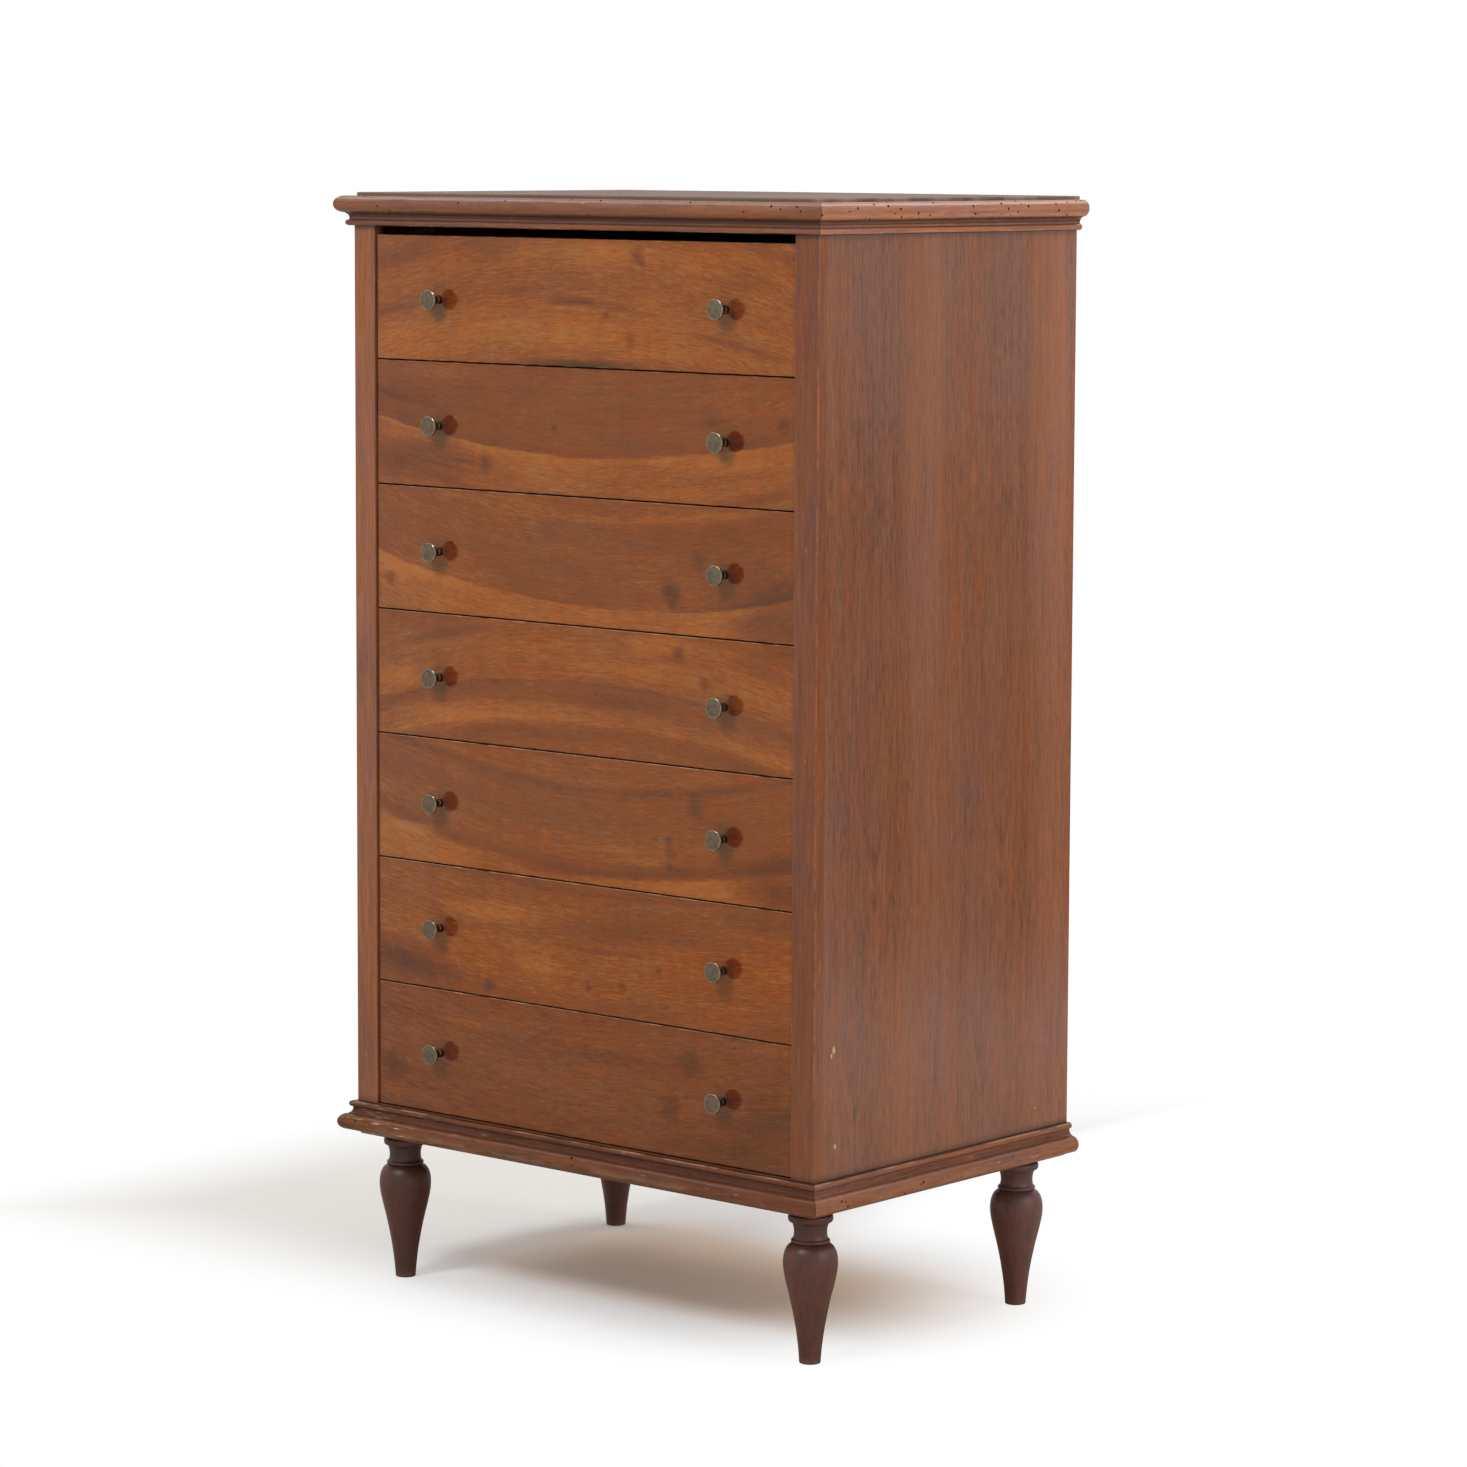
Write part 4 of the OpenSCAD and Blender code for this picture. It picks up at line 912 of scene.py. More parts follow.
def moulding_maker():
    """Sweeps a moulding's section along its length, bores it, mitres its ends and wears it down unevenly"""
    t = Maker("Moulding sweep", Length=0.7, Steps=150, Start_Mitre=1.0, End_Mitre=1.0, Rub=0.3 * MM, Seed=1.0,
              Hole_Radius=0.7 * MM, Holes=600.0, Reach=8 * MM, Hole_Seed=1)
    section = t.first("GeometryNodeMeshToCurve", {"Mesh": t.drawing})
    line = t.first("GeometryNodeCurvePrimitiveLine", {"End": t.join(0.0, 0.0, t.given["Length"])})
    path = t.first("GeometryNodeResampleCurve", {"Curve": line, "Count": t.given["Steps"]})
    sweep = t.first("GeometryNodeCurveToMesh", {"Curve": path, "Profile Curve": section, "Fill Caps": True})
    kept = t.kept(bored(t, sweep), "section")
    place = t.position()
    out, up, along = t.split(place)
    start = t.join(t.given["Seed"], t.given["Seed"], t.given["Seed"])
    dents = t.noise(t.vector("ADD", t.stretch(place, (70, 70, 22)), start), 3, 0.6)
    waves = t.noise(t.vector("ADD", t.stretch(place, (20, 20, 6)), start), 1)
    depth = t.total(t.span(dents, 0.48, 0.80, 0.0, 1.0, "LINEAR"),
                    t.span(waves, 0.3, 0.7, 0.0, 0.5, "LINEAR"))
    depth = t.times(depth, t.span(out, 0.5 * MM, 4 * MM), t.given["Rub"], -1.0)
    part = t.calc("DIVIDE", along, t.given["Length"])
    lean = t.less(t.times(part, t.given["End_Mitre"]), t.times(t.less(1.0, part), t.given["Start_Mitre"]))
    t.close(t.moved(t.pushed(kept, depth), t.join(0.0, 0.0, t.times(out, lean))))
    return t


def dented(t, geometry):
    """Small dents and flats, never outwards"""
    place = t.vector("ADD", t.position(), t.join(t.given["Seed"], t.given["Seed"], t.given["Seed"]))
    bumps = t.noise(t.stretch(place, (55, 55, 30)), 3, 0.55)
    return t.pushed(geometry, t.times(t.span(bumps, 0.45, 0.78, 0.0, -1.0, "LINEAR"), t.given["Dents"]))


def turning_maker():
    """Turned pieces, one at each place: the legs and the knobs"""
    t = Maker("Turned pieces", Outline="NodeSocketObject", Facets=96, Tilt=ORIGIN, Spin=(0.0, 0.0, 1.0),
              Dents=0.0, Seed=1.0)
    laid = t.first("GeometryNodeTransform", {"Geometry": dented(t, t.turned()), "Rotation": t.given["Tilt"]})
    angle = t.chance(0.0, 2 * math.pi, 7)
    spin = t.vector("MULTIPLY", t.given["Spin"], t.join(angle, angle, angle))
    t.close(t.first("GeometryNodeInstanceOnPoints", {
        "Points": t.drawing, "Instance": laid, "Rotation": spin}))
    return t


def screw_maker():
    """Slotted screw heads, one at each place, each turned its own way"""
    t = Maker("Slotted screws", Outline="NodeSocketObject", Facets=24, Slot=0.9 * MM, Depth=0.8 * MM,
              Across=7 * MM, Head=2.2 * MM)
    piece = t.turned()
    bar = t.first("GeometryNodeMeshCube", {
        "Size": t.join(t.given["Across"], t.given["Slot"], t.times(t.given["Depth"], 2.0))})
    cut = t.carved(piece, t.moved(bar, t.join(0.0, 0.0, t.given["Head"])))
    laid = t.first("GeometryNodeTransform", {"Geometry": cut, "Rotation": (-math.pi / 2, 0.0, 0.0)})
    spin = t.join(0.0, t.chance(0.0, math.pi, 3), 0.0)
    t.close(t.first("GeometryNodeInstanceOnPoints", {
        "Points": t.drawing, "Instance": laid, "Rotation": spin}))
    return t


MAKERS = {}


def maker(build):
    """The tree that build makes, made only once"""
    if build not in MAKERS:
        MAKERS[build] = build()
    return MAKERS[build]


def linked(name, data):
    """A new object in the scene"""
    item = bpy.data.objects.new(name, data)
    bpy.context.scene.collection.objects.link(item)
    return item


def drawing(points, closed=False):
    """A mesh of edges through points in millimetres"""
    mesh = bpy.data.meshes.new("outline")
    edges = [(k, k + 1) for k in range(len(points) - 1)]
    if closed:
        edges.append((len(points) - 1, 0))
    mesh.from_pydata([Vector((x, y, 0)) * MM for x, y in points], edges, [])
    return mesh


def places(points):
    """A mesh of loose points in metres"""
    mesh = bpy.data.meshes.new("places")
    mesh.from_pydata([Vector(p) for p in points], [], [])
    return mesh


def loose(mesh):
    """A copy of a CAD node's mesh with its corners welded, to cut and round"""
    solid = bmesh.new()
    solid.from_mesh(mesh)
    bmesh.ops.remove_doubles(solid, verts=solid.verts, dist=WELD)
    return solid


def smooth(piece, angle):
    """Smooth shading, with edges sharper than angle left crisp and all faces outwards"""
    solid = bmesh.new()
    solid.from_mesh(piece.data)
    if solid.calc_volume(signed=True) < 0:
        bmesh.ops.reverse_faces(solid, faces=solid.faces)
    solid.to_mesh(piece.data)
    solid.free()
    piece.data.shade_smooth()
    piece.data.set_sharp_from_angle(angle=math.radians(angle))


def fit(piece, body, slot_name, *nodes):
    """Lets a finished piece stand for its CAD nodes"""
    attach(piece, body)
    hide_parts(*nodes)


def softened(node, name, finish, body, slot_name, radius_of):
    """A copy of a board with its arrises rounded; radius_of gives an edge's radius from its ends, or 0"""
    solid = loose(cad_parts[node].data)
    bmesh.ops.dissolve_limit(solid, angle_limit=math.radians(1), verts=solid.verts, edges=solid.edges)
    groups = {}
    for edge in solid.edges:
        if len(edge.link_faces) == 2 and edge.calc_face_angle_signed(0) > math.radians(50):
            radius = radius_of(edge.verts[0].co, edge.verts[1].co)
            if radius:
                groups.setdefault(radius, []).append(edge)
    for radius, edges in sorted(groups.items(), reverse=True):
        edges = [edge for edge in edges if edge.is_valid]
        bmesh.ops.bevel(solid, geom=edges, offset=radius, offset_type="OFFSET", segments=3, profile=0.5,
                        affect="EDGES", clamp_overlap=True)
    mesh = bpy.data.meshes.new(name)
    solid.to_mesh(mesh)
    solid.free()
    mesh.materials.append(finish)
    fit(linked(name, mesh), body, slot_name, node)


def same(a, b, value):
    """True if both coordinates lie at value"""
    return abs(a - value) < 0.05 * MM and abs(b - value) < 0.05 * MM


def finish_nodes(finish, *nodes):
    """Gives CAD nodes a better material"""
    for node in nodes:
        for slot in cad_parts[node].material_slots:
            slot.material = finish


# Outlines

def bend_points(a, b, c, d, count):
    """Points after a on the curve from a to d that starts towards b and arrives from c"""
    made = []
    for k in range(1, count + 1):
        t = k / count
        weights = ((1 - t) ** 3, 3 * (1 - t) ** 2 * t, 3 * (1 - t) * t * t, t ** 3)
        made.append(tuple(sum(w * p[j] for w, p in zip(weights, (a, b, c, d))) for j in range(2)))
    return made


def arc(x, y, radius, start, end, count, tall=None):
    """Points of an arc round x, y, in degrees; tall is its radius upwards, where that differs"""
    tall = radius if tall is None else tall
    made = []
    for k in range(count + 1):
        angle = math.radians(start + (end - start) * k / count)
        made.append((x + radius * math.cos(angle), y + tall * math.sin(angle)))
    return made


def moulding_outline(lip_h):
    """Section of the mouldings in mm, from the bead's edge up: bead, flat, cove and rounded nose"""
    setback, height = 2.0, 34.5
    nose_reach, nose_r, bead_r, bead_reach, flat_reach, cove_r = 17.3, 9.7, 3.7, 7.3, 3.9, 6.2
    nose_x = nose_reach - nose_r
    bead_x = bead_reach - bead_r
    cove_x = flat_reach + cove_r
    cove_y = height - 2 * nose_r - cove_r
    quirk = math.degrees(math.acos((flat_reach - bead_x) / bead_r))
    cove_end = 90 + math.degrees(math.asin((cove_x - nose_x) / cove_r))
    return [(0.0, 0.0), *arc(bead_x, bead_r, bead_r, -90, quirk, 14),
            (flat_reach, cove_y - 3), (flat_reach, cove_y - 1),
            *arc(cove_x, cove_y, cove_r, 180, cove_end, 8),
            *arc(nose_x, height - nose_r, nose_r, -90, 90, 30), (nose_x * 0.5, height), (0.0, height),
            (-setback, height), (-setback, height - lip_h), (0.0, height - lip_h)]


def leg_outline():
    """Half outline of a leg in mm, from the floor to the top of the pin that holds it"""
    leg_h, foot_r, bulb_r, bulb_z, ring_r, ring_mid, ring_t = 172.5, 12.0, 30.5, 113.0, 21.75, 137.5, 5.0
    neck_r, cap_z, cap_r, cap_t, step_r, quirk, pin_r, pin_h = 17.75, 159.0, 25.25, 8.5, 22.0, 1.5, 12, 18
    low, high = ring_mid - ring_t / 2, ring_mid + ring_t / 2
    foot, bulb, groove = (foot_r, 1.4), (bulb_r, bulb_z), (ring_r - quirk - 0.5, high)
    points = [(0, 0), (foot_r - 1.4, 0), (foot_r - 0.4, 0.4), foot]
    points += bend_points(foot, (foot_r * 1.3, bulb_z * 0.54), (bulb_r, bulb_z * 0.82), bulb, 40)
    points += bend_points(bulb, (bulb_r, bulb_z + 9), (bulb_r - 2, low - 3), (ring_r - quirk, low), 20)
    points += arc(ring_r - ring_t / 2, ring_mid, ring_t / 2, -75, 75, 10) + [groove]
    points += bend_points(groove, (neck_r, high + 3), (neck_r, cap_z - 4), (cap_r - 3.5, cap_z - 0.5), 16)
    points += arc(cap_r - cap_t / 4, cap_z + cap_t / 2, cap_t / 4, -80, 80, 10, cap_t / 2)
    pin_end = leg_h + pin_h
    points += [(step_r, cap_z + cap_t), (step_r, leg_h), (pin_r, leg_h), (pin_r, pin_end), (0, pin_end)]
    return points


def knob_outline():
    """Half outline of a knob in mm, from the tip of its screw to its face"""
    r, reach, rim = KNOB_R, KNOB_REACH, KNOB_REACH - 3.0
    stem_r, collar_r, collar_t = 2.8, 5.0, 4.5
    collar = collar_r - 0.7
    points = [(0, -13), (2, -12), (2, 0), (collar, 0)]
    points += arc(collar, collar_t / 2, 0.7, -75, 75, 10, collar_t / 2 - 0.2)
    points += bend_points((collar, collar_t), (stem_r, collar_t + 1.5), (stem_r, rim - 6),
                          (r - 1.5, rim - 1), 20)
    points += [(r - 0.5, rim - 0.4), (r - 0.1, rim), (r, rim + 0.5)]
    face = ((0, 1.3), (0.15, 0.8), (0.5, 0.5), (1.0, 0.4), (1.6, 0.5), (2.3, 0.62), (4, 0.35), (6, 0.12),
            (8, 0))
    points += [(r - inwards, reach - under) for inwards, under in face]
    return points + [(0, reach)]


# Operators

# Colours that the woods and the stage are mixed with
BLACK = (0.0, 0.0, 0.0)
WHITE = (1.0, 1.0, 1.0)
FADED_AND_LIT_POST = (0.42, 0.165, 0.075)
LIT_SIDE_MOULDING = (0.50, 0.20, 0.105)
PALE_PLY = (0.62, 0.43, 0.25)
# Distance between the points along a moulding
SWEEP_STEP = 0.004


class Step(bpy.types.Operator):
    """Base of the chest's operators"""
    bl_options = {"REGISTER", "UNDO"}

    def execute(self, context):
        self.build(context.scene.chest_paint, context.scene.chest_sizes)
        return {"FINISHED"}


class CHEST_OT_carcass(Step, bpy.types.Operator):
    """Finish the side panels and the front posts"""
    bl_idname = "chest.carcass"
    bl_label = "Sides and posts"

    def build(self, colours, sizes):
        sides = side_walnut(colours)
        for hand, sign in (("left", -1), ("right", 1)):

            def panel_radius(a, b):
                if same(a.y, b.y, BACK_Y):
                    return sizes.arris
                if same(a.y, b.y, PANEL_LOW.y) and same(a.x, b.x, sign * HALF_W):
                    return sizes.joint_arris
                return 0

            def post_radius(a, b):
                if abs(a.z - b.z) < 0.1:
                    return 0
                if same(a.y, b.y, FACE_Y):
                    return sizes.post_arris if same(a.x, b.x, sign * HALF_W) else sizes.arris
                return sizes.joint_arris if same(a.x, b.x, sign * HALF_W) else 0

            softened(f"side_panel_{hand}", f"side_{hand}_veneered", sides, "carcass", "side_walnut",
                     panel_radius)
            # The left post is paler: partly faded polish, partly painted light from the left
            faded = 0.0 if hand == "right" else 0.45
            light = mixed(colours.post_light, FADED_AND_LIT_POST, faded)
            deep = mixed(colours.post_deep, colours.post_light, faded)
            post = post_walnut(f"walnut_post_{hand}", light, deep, 3.0 + sign)
            softened(f"front_post_{hand}", f"post_{hand}_polished", post, "carcass", "post_walnut",
                     post_radius)


class CHEST_OT_boards(Step, bpy.types.Operator):
    """Finish the top board, the base board and the rails behind the mouldings"""
    bl_idname = "chest.boards"
    bl_label = "Top, base and rails"

    def build(self, colours, sizes):
        for node, name, finish, slot in (
                ("top_board", "top_board_worn", top_walnut(colours), "top_walnut"),
                ("base_board", "base_board_stained",
                 bare_wood("base_wood_stained", "X", mixed(colours.post_light, colours.bare_deep, 0.5),
                           colours.post_deep, 2.0), "base_wood")):
            low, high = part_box(node)

            def board_radius(a, b):
                outer = any(same(a[k], b[k], end[k]) for k in (0, 1) for end in (low, high))
                level = same(a.z, b.z, high.z) or same(a.z, b.z, low.z)
                upright = same(a.x, b.x, a.x) and same(a.y, b.y, a.y)
                return sizes.board_arris if outer and (level or upright) else 0

            softened(node, name, finish, "carcass", slot, board_radius)
        finish_nodes(bare_wood("rail_walnut_bare", "X", colours.post_light, colours.post_deep, 5.0),
                     "top_front_rail", "bottom_rail")


class CHEST_OT_mouldings(Step, bpy.types.Operator):
    """Sweep the cornice and the base moulding"""
    bl_idname = "chest.mouldings"
    bl_label = "Mouldings"

    def build(self, colours, sizes):
        deep = BACK_Y - FACE_Y
        # Where each run goes: its side, length, mitres and grain, and the rows that lay it across and back
        runs = (("front", 2 * HALF_W, 1.0, 1.0, "X", (0, 0, 1, -HALF_W), (-1, 0, 0, FACE_Y)),
                ("right", deep, 0.0, 1.0, "Y", (1, 0, 0, HALF_W), (0, 0, -1, BACK_Y)),
                ("left", deep, 0.0, 1.0, "Y", (-1, 0, 0, -HALF_W), (0, 0, -1, BACK_Y)))
        upside_down = Matrix.Diagonal((1, 1, -1, 1))
        for kind, lip_h, lift in (
                ("cornice", 16.0, Matrix.Translation((0, 0, CORNICE_Z))),
                ("base_moulding", 15.0, Matrix.Translation((0, 0, BASE_MOULDING_TOP)) @ upside_down)):
            for number, (side, long, start, end, axis, across, back) in enumerate(runs):
                lay = Matrix((across, back, (0, 1, 0, 0), (0, 0, 0, 1)))
                seed = number + (5 if kind == "cornice" else 11)
                light, deep_colour = colours.moulding_light, colours.moulding_deep
                worn, shine, cove_shade = 0.45, 0.36, 0.72
                # The side runs are painted paler: painted light, as if lit from the side
                if side != "front":
                    light = mixed(light, LIT_SIDE_MOULDING, 0.75)
                    deep_colour = mixed(deep_colour, light, 0.3)
                # The base moulding is painted darker, a painted shade, as it faces down near the floor
                if kind == "base_moulding":
                    light, deep_colour = mixed(light, deep_colour, 0.45), mixed(deep_colour, BLACK, 0.25)
                    worn, shine, cove_shade = 0.95, 0.15, 0.2
                left_wear = 0.09 if side == "front" and kind == "base_moulding" else 0.0
                finish = moulding_walnut(f"{kind}_{side}_walnut", axis, light, deep_colour, seed * 0.9, worn,
                                         left_wear, long, (start, end), shine, cove_shade)
                holes = 3400.0 if side == "right" and kind == "cornice" else 700.0
                piece = maker(moulding_maker).make(
                    f"{kind}_{side}_moulded", drawing(moulding_outline(lip_h), closed=True), Length=long,
                    Steps=int(long / SWEEP_STEP), Start_Mitre=start, End_Mitre=end, Rub=sizes.rub,
                    Seed=float(seed), Hole_Radius=sizes.worm_radius, Holes=holes, Reach=11 * MM,
                    Hole_Seed=seed, Finish=finish)
                piece.data.transform(lift @ lay)
                smooth(piece, 38)
                fit(piece, "carcass", "moulding_walnut", f"{kind}_{side}")


class CHEST_OT_legs(Step, bpy.types.Operator):
    """Turn the four legs"""
    bl_idname = "chest.legs"
    bl_label = "Legs"

    def build(self, colours, sizes):
        finish = leg_stain(colours)
        outline = linked("outline", drawing(leg_outline()))
        for number, end in enumerate(("front_left", "front_right", "back_left", "back_right")):
            low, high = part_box(f"leg_{end}")
            middle = (low + high) / 2
            piece = maker(turning_maker).make(
                f"leg_{end}_turned", places([(middle.x, middle.y, 0)]), Outline=outline, Facets=96,
                Dents=sizes.turning, Seed=number * 1.7, Finish=finish)
            smooth(piece, 38)
            fit(piece, "carcass", "leg_dark", f"leg_{end}")
        bpy.data.objects.remove(outline)


class CHEST_OT_fronts(Step, bpy.types.Operator):
    """Veneer the drawer fronts"""
    bl_idname = "chest.fronts"
    bl_label = "Drawer fronts"

    def build(self, colours, sizes):
        for n in DRAWERS:
            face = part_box(f"drawer_{n}_front")[0].y

            def front_radius(a, b):
                return sizes.arris if same(a.y, b.y, face) and (a - b).length > 0.1 else 0

            softened(f"drawer_{n}_front", f"drawer_{n}_front_veneered", veneer(n, colours), f"drawer_{n}",
                     "front_veneer", front_radius)


class CHEST_OT_boxes(Step, bpy.types.Operator):
    """Finish the drawer boxes"""
    bl_idname = "chest.boxes"
    bl_label = "Drawer boxes"

    def build(self, colours, sizes):
        sides = bare_wood("drawer_pine_sides", "Y", colours.pine_light, colours.pine_deep, 1.0)
        backs = bare_wood("drawer_pine_backs", "X", colours.pine_light, colours.pine_deep, 4.0)
        light_ply = mixed(colours.pine_light, PALE_PLY, 0.6)
        bottoms = bare_wood("drawer_ply", "X", light_ply, colours.pine_deep, 8.0, 0.2)
        for n in DRAWERS:
            for finish, part in ((sides, "sides"), (backs, "back"), (bottoms, "bottom")):
                finish_nodes(finish, f"drawer_{n}_{part}")


class CHEST_OT_inside(Step, bpy.types.Operator):
    """Finish the frame between the drawers"""
    bl_idname = "chest.inside"
    bl_label = "Inner frame"

    def build(self, colours, sizes):
        finish_nodes(bare_wood("frame_wood_across", "X", colours.bare_light, colours.bare_deep, 3.0, 0.5),
                     "drawer_rails", "top_back_rail")
        finish_nodes(bare_wood("frame_wood_deep", "Y", colours.bare_light, colours.bare_deep, 6.0, 0.5),
                     "drawer_runners", "drawer_guides", "top_kickers")


class CHEST_OT_back(Step, bpy.types.Operator):
    """Finish the back panel and set its screws"""
    bl_idname = "chest.back"
    bl_label = "Back"

    def build(self, colours, sizes):
        ply = bare_wood("back_ply", "Z", colours.back_light, colours.back_deep, 9.0, 0.45)
        finish_nodes(ply, "back_panel")
        # Each loose part of the CAD screws is one screw
        solid = loose(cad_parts["back_screws"].data)
        middles = []
        seen = set()
        for vert in solid.verts:
            if vert in seen:
                continue
            group = [vert]
            seen.add(vert)
            for member in group:
                for edge in member.link_edges:
                    other = edge.other_vert(member)
                    if other not in seen:
                        seen.add(other)
                        group.append(other)
            xs = [v.co.x for v in group]
            zs = [v.co.z for v in group]
            middles.append(((min(xs) + max(xs)) / 2, BACK_Y, (min(zs) + max(zs)) / 2))
        solid.free()
        shank = [(0, -22), (1.5, -20.5), (1.5, 0), (3, 0), (3, 0.9)]
        head = bend_points((3, 0.9), (2.8, 1.7), (1.8, 2.2), (0, 2.2), 8)
        outline = linked("outline", drawing(shank + head))
        piece = maker(screw_maker).make("back_screws_slotted", places(sorted(middles)), Outline=outline,
                                        Slot=sizes.slot_width, Finish=dull_steel(colours))
        bpy.data.objects.remove(outline)
        smooth(piece, 35)
        fit(piece, "carcass", "screw_steel", "back_screws")


class CHEST_OT_knobs(Step, bpy.types.Operator):
    """Turn the brass knobs"""
    bl_idname = "chest.knobs"
    bl_label = "Knobs"

    def build(self, colours, sizes):
        finish = aged_brass(colours)
        outline = linked("outline", drawing(knob_outline()))
        for n in DRAWERS:
            low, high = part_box(f"drawer_{n}_knobs")
            radius = (high.z - low.z) / 2
            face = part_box(f"drawer_{n}_front")[0].y
            seats = [(x, face, (low.z + high.z) / 2) for x in (low.x + radius, high.x - radius)]
            piece = maker(turning_maker).make(
                f"drawer_{n}_knobs_turned", places(seats), Outline=outline, Facets=64,
                Tilt=(math.pi / 2, 0.0, 0.0), Spin=(0.0, 1.0, 0.0), Dents=0.0, Seed=float(n), Finish=finish)
            smooth(piece, 30)
            fit(piece, f"drawer_{n}", "knob_brass", f"drawer_{n}_knobs")
        bpy.data.objects.remove(outline)


# Stage

# The camera: azimuth, pitch and roll in degrees, its place, and its shift in parts of the picture
CAMERA_TURN = (40.784, -6.094, 0.232)
CAMERA_PLACE = (3.6959, -4.2409, 1.3420)
CAMERA_SHIFT = (0.0008, -0.050)
FILM_WIDTH = 36
VIEW_END = 60
# Cosine and sine of its azimuth, for depth along the view
VIEW_COSINE = 0.757
VIEW_SINE = 0.653

# Where the lamps aim, and the middle that the floor fades out from
LAMP_AIM = Vector((0.0, 0.0, 0.65))
CHEST_X = 0.03
CHEST_Y = 0.05
# Half the floor's width, and how far off the reflected walls start
FLOOR_HALF = 14.0
WALL_START = 2.2

# Tints of the floor near the chest and left of it, of its dust, and of what the polish reflects
NEAR_FLOOR = (0.87, 0.865, 0.86)
LEFT_FLOOR = (0.80, 0.785, 0.75)
DUST_SPOTS = (0.45, 0.36, 0.28)
WARM_FLOOR = (0.86, 0.77, 0.66)
SHADED_FLOOR = (0.66, 0.62, 0.52)
WARM_WALL = (1.0, 0.98, 0.95)
ROOM_LIGHT = (1.0, 0.995, 0.985)


def soft_lamp(name, energy, size, place):
    """A large square lamp that shines from place towards the chest"""
    light = bpy.data.lights.new(name, "AREA")
    light.energy = energy
    light.size = size
    lamp = linked(name, light)
    lamp.location = place
    lamp.rotation_euler = (LAMP_AIM - Vector(place)).to_track_quat("-Z", "Y").to_euler()


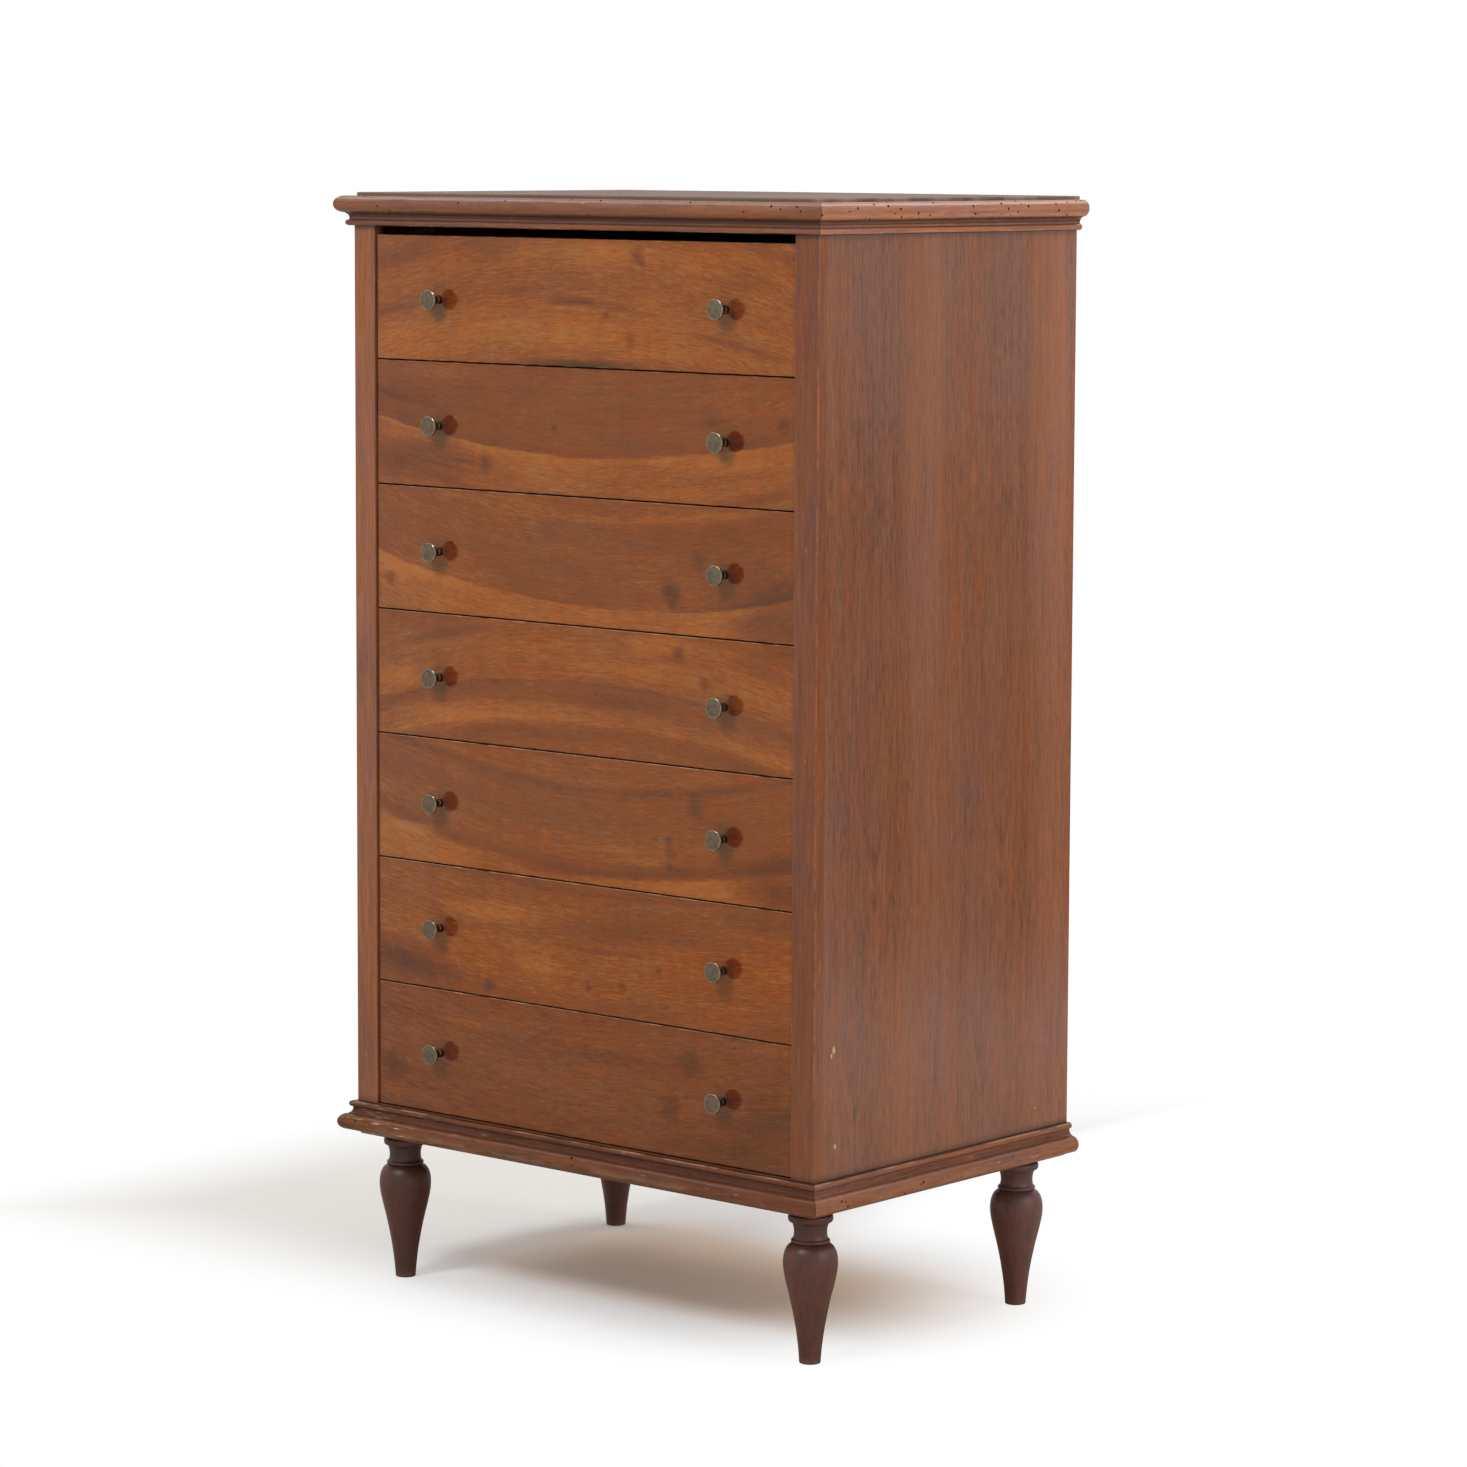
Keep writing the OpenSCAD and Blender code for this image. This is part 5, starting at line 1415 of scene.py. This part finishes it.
class CHEST_OT_stage(bpy.types.Operator):
    """Lay the floor, hang the lamps and set the camera"""
    bl_idname = "chest.stage"
    bl_label = "Stage"

    def execute(self, context):
        scene = context.scene
        stage = scene.chest_stage
        scene.view_settings.view_transform = "Standard"
        self.lay_floor(stage)
        self.light_room(scene, stage)
        soft_lamp("front_light", stage.key, 0.85, (-0.3, -2.7, 3.1))
        soft_lamp("side_light", stage.side, 2.4, (4.2, 0.45, 2.0))
        soft_lamp("ceiling_left", stage.over_left, 1.8, (-3.0, -0.2, 4.2))
        soft_lamp("ceiling_back", stage.over_back, 1.8, (0.4, 3.4, 4.2))
        self.set_camera(scene, stage)
        return {"FINISHED"}

    def lay_floor(self, stage):
        mesh = bpy.data.meshes.new("floor")
        corners = [(across * FLOOR_HALF, back * FLOOR_HALF, 0)
                   for across, back in ((-1, -1), (1, -1), (1, 1), (-1, 1))]
        mesh.from_pydata(corners, [], [(0, 1, 2, 3)])
        f = Finish("floor_paint", specular=0.2)
        tone = f.noise(f.stretch(f.place, (2.2, 2.2, 1)), 4, 0.6)
        x, y, z = f.split(f.place)
        away = f.away(x, y)
        drift = f.swing(f.place, (9, 9, 1), 0.10)
        # Under the chest the floor is tinted: dust, and a painted warm shade of the chest's shadow
        under_chest = f.times(f.span(f.total(y, drift), -0.17, 0.00), f.span(y, 0.34, 0.12))
        beside = f.size(f.less(x, CHEST_X))
        under_chest = f.times(under_chest, f.span(f.total(beside, drift), 0.44, 0.22))
        # Near the chest and to its left the floor is painted darker
        worn = f.tinted(f.span(away, 0.75, 0.35), stage.floor, NEAR_FLOOR)
        worn = f.mix(f.span(x, -0.25, -0.50), worn, f.mix(1.0, stage.floor, LEFT_FLOOR, "MULTIPLY"))
        colour = f.mix(under_chest, worn, stage.dust_and_shade)
        colour = f.mix(f.times(f.span(tone, 0.45, 0.8, 0.0, 0.10), under_chest), colour, DUST_SPOTS)

        # In reflections the floor in front is warmer, and beside the chest it is darker
        path = f.add("ShaderNodeLightPath")
        seen, glossy = path.outputs["Is Camera Ray"], path.outputs["Is Glossy Ray"]
        warm = f.mix(1.0, colour, WARM_FLOOR, "MULTIPLY")
        mirrored = f.times(glossy, f.span(y, -0.2, -0.7))
        near = f.times(glossy, f.span(away, WALL_START, 1.2), f.span(y, -0.7, -0.2))
        shaded = f.mix(1.0, colour, SHADED_FLOOR, "MULTIPLY")
        f.close(f.mix(near, f.mix(mirrored, colour, warm), shaded), 0.7)

        # Far from the chest the floor goes over into the white background for the camera; nearer, a little of
        # the white glow lifts the chest's shadow, as painted light
        front = f.most(f.less(CHEST_Y, y), 0.0)
        back = f.times(f.most(f.less(y, CHEST_Y), 0.0), f.span(x, -0.35, 0.0))
        right = f.most(f.less(x, CHEST_X), 0.0)
        aside = f.away(right, f.total(front, back))
        deep = f.less(f.times(y, VIEW_COSINE), f.times(x, VIEW_SINE))
        faded = f.most(f.span(deep, 0.65, 1.25), f.span(x, -0.72, -1.06))
        faded = f.most(f.span(aside, 0.08, 0.42, 0.08, 1.0), faded)
        whole = f.blend(f.times(seen, faded), f.shader, f.glow(WHITE, 1.0))

        # In reflections it ends where the studio's walls would stand
        behind = f.times(f.span(away, WALL_START, 3.0), f.span(y, -0.5, 1.0))
        whole = f.blend(f.times(glossy, behind), whole, f.glow(WHITE, stage.dim_wall))
        ahead = f.times(f.span(away, WALL_START, 4.5), f.span(y, -0.5, -1.5))
        whole = f.blend(f.times(glossy, ahead), whole, f.glow(WARM_WALL, stage.bright_wall))
        f.tree.links.new(whole.outputs[0], f.tree.nodes["Material Output"].inputs["Surface"])
        mesh.materials.append(f.material)
        linked("floor", mesh)

    def light_room(self, scene, stage):
        world = scene.world or bpy.data.worlds.new("room")
        scene.world = world
        world.use_nodes = True
        world.node_tree.nodes.clear()
        n = Nodes(world.node_tree)
        path = n.add("ShaderNodeLightPath")
        white = n.add("ShaderNodeBackground", {"Color": WHITE, "Strength": 1.0})
        high = n.split(n.add("ShaderNodeTexCoord").outputs["Generated"])[2]
        even = n.span(high, 0.15, 0.75, stage.room, stage.ceiling)
        shine = n.most(even, n.times(path.outputs["Is Glossy Ray"], stage.bright_wall))
        lit = n.add("ShaderNodeBackground", {"Color": ROOM_LIGHT, "Strength": shine})
        both = n.blend(path.outputs["Is Camera Ray"], lit, white)
        n.add("ShaderNodeOutputWorld", {"Surface": both.outputs[0]})

    def set_camera(self, scene, stage):
        """The photograph's view, fitted to the chest's edges"""
        azimuth, pitch, roll = (math.radians(angle) for angle in CAMERA_TURN)
        forward = Vector((-math.sin(azimuth) * math.cos(pitch), math.cos(azimuth) * math.cos(pitch),
                          math.sin(pitch)))
        level = Vector((math.cos(azimuth), math.sin(azimuth), 0))
        over = level.cross(forward)
        right = level * math.cos(roll) + over * math.sin(roll)
        up = over * math.cos(roll) - level * math.sin(roll)
        lens = bpy.data.cameras.new("camera")
        lens.lens = stage.lens
        lens.sensor_width = FILM_WIDTH
        lens.shift_x, lens.shift_y = CAMERA_SHIFT
        lens.clip_end = VIEW_END
        camera = linked("camera", lens)
        turn = Matrix((right, up, -forward)).transposed()
        camera.matrix_world = Matrix.Translation(CAMERA_PLACE) @ turn.to_4x4()
        scene.camera = camera


class CHEST_PT_panel(bpy.types.Panel):
    """Everything that makes the chest"""
    bl_idname = "CHEST_PT_panel"
    bl_label = "Chest of drawers"
    bl_space_type = "VIEW_3D"
    bl_region_type = "UI"
    bl_category = "Chest"

    def draw(self, context):
        column = self.layout.column()
        for step in STEPS:
            column.operator(step.bl_idname)
        for group in (context.scene.chest_paint, context.scene.chest_sizes, context.scene.chest_stage):
            box = column.box()
            for name in group.bl_rna.properties.keys():
                if name not in ("rna_type", "name"):
                    box.prop(group, name)


STEPS = (CHEST_OT_stage, CHEST_OT_carcass, CHEST_OT_boards, CHEST_OT_mouldings, CHEST_OT_legs,
         CHEST_OT_fronts, CHEST_OT_boxes, CHEST_OT_inside, CHEST_OT_back, CHEST_OT_knobs)
CLASSES = (ChestPaint, ChestSizes, ChestStage, *STEPS, CHEST_PT_panel)


def register():
    for item in CLASSES:
        bpy.utils.register_class(item)
    bpy.types.Scene.chest_paint = bpy.props.PointerProperty(type=ChestPaint)
    bpy.types.Scene.chest_sizes = bpy.props.PointerProperty(type=ChestSizes)
    bpy.types.Scene.chest_stage = bpy.props.PointerProperty(type=ChestStage)


def unregister():
    del bpy.types.Scene.chest_stage
    del bpy.types.Scene.chest_sizes
    del bpy.types.Scene.chest_paint
    for item in reversed(CLASSES):
        bpy.utils.unregister_class(item)


def main():
    register()
    for step in STEPS:
        group, name = step.bl_idname.split(".")
        getattr(getattr(bpy.ops, group), name)()


if __name__ == "__main__":
    main()
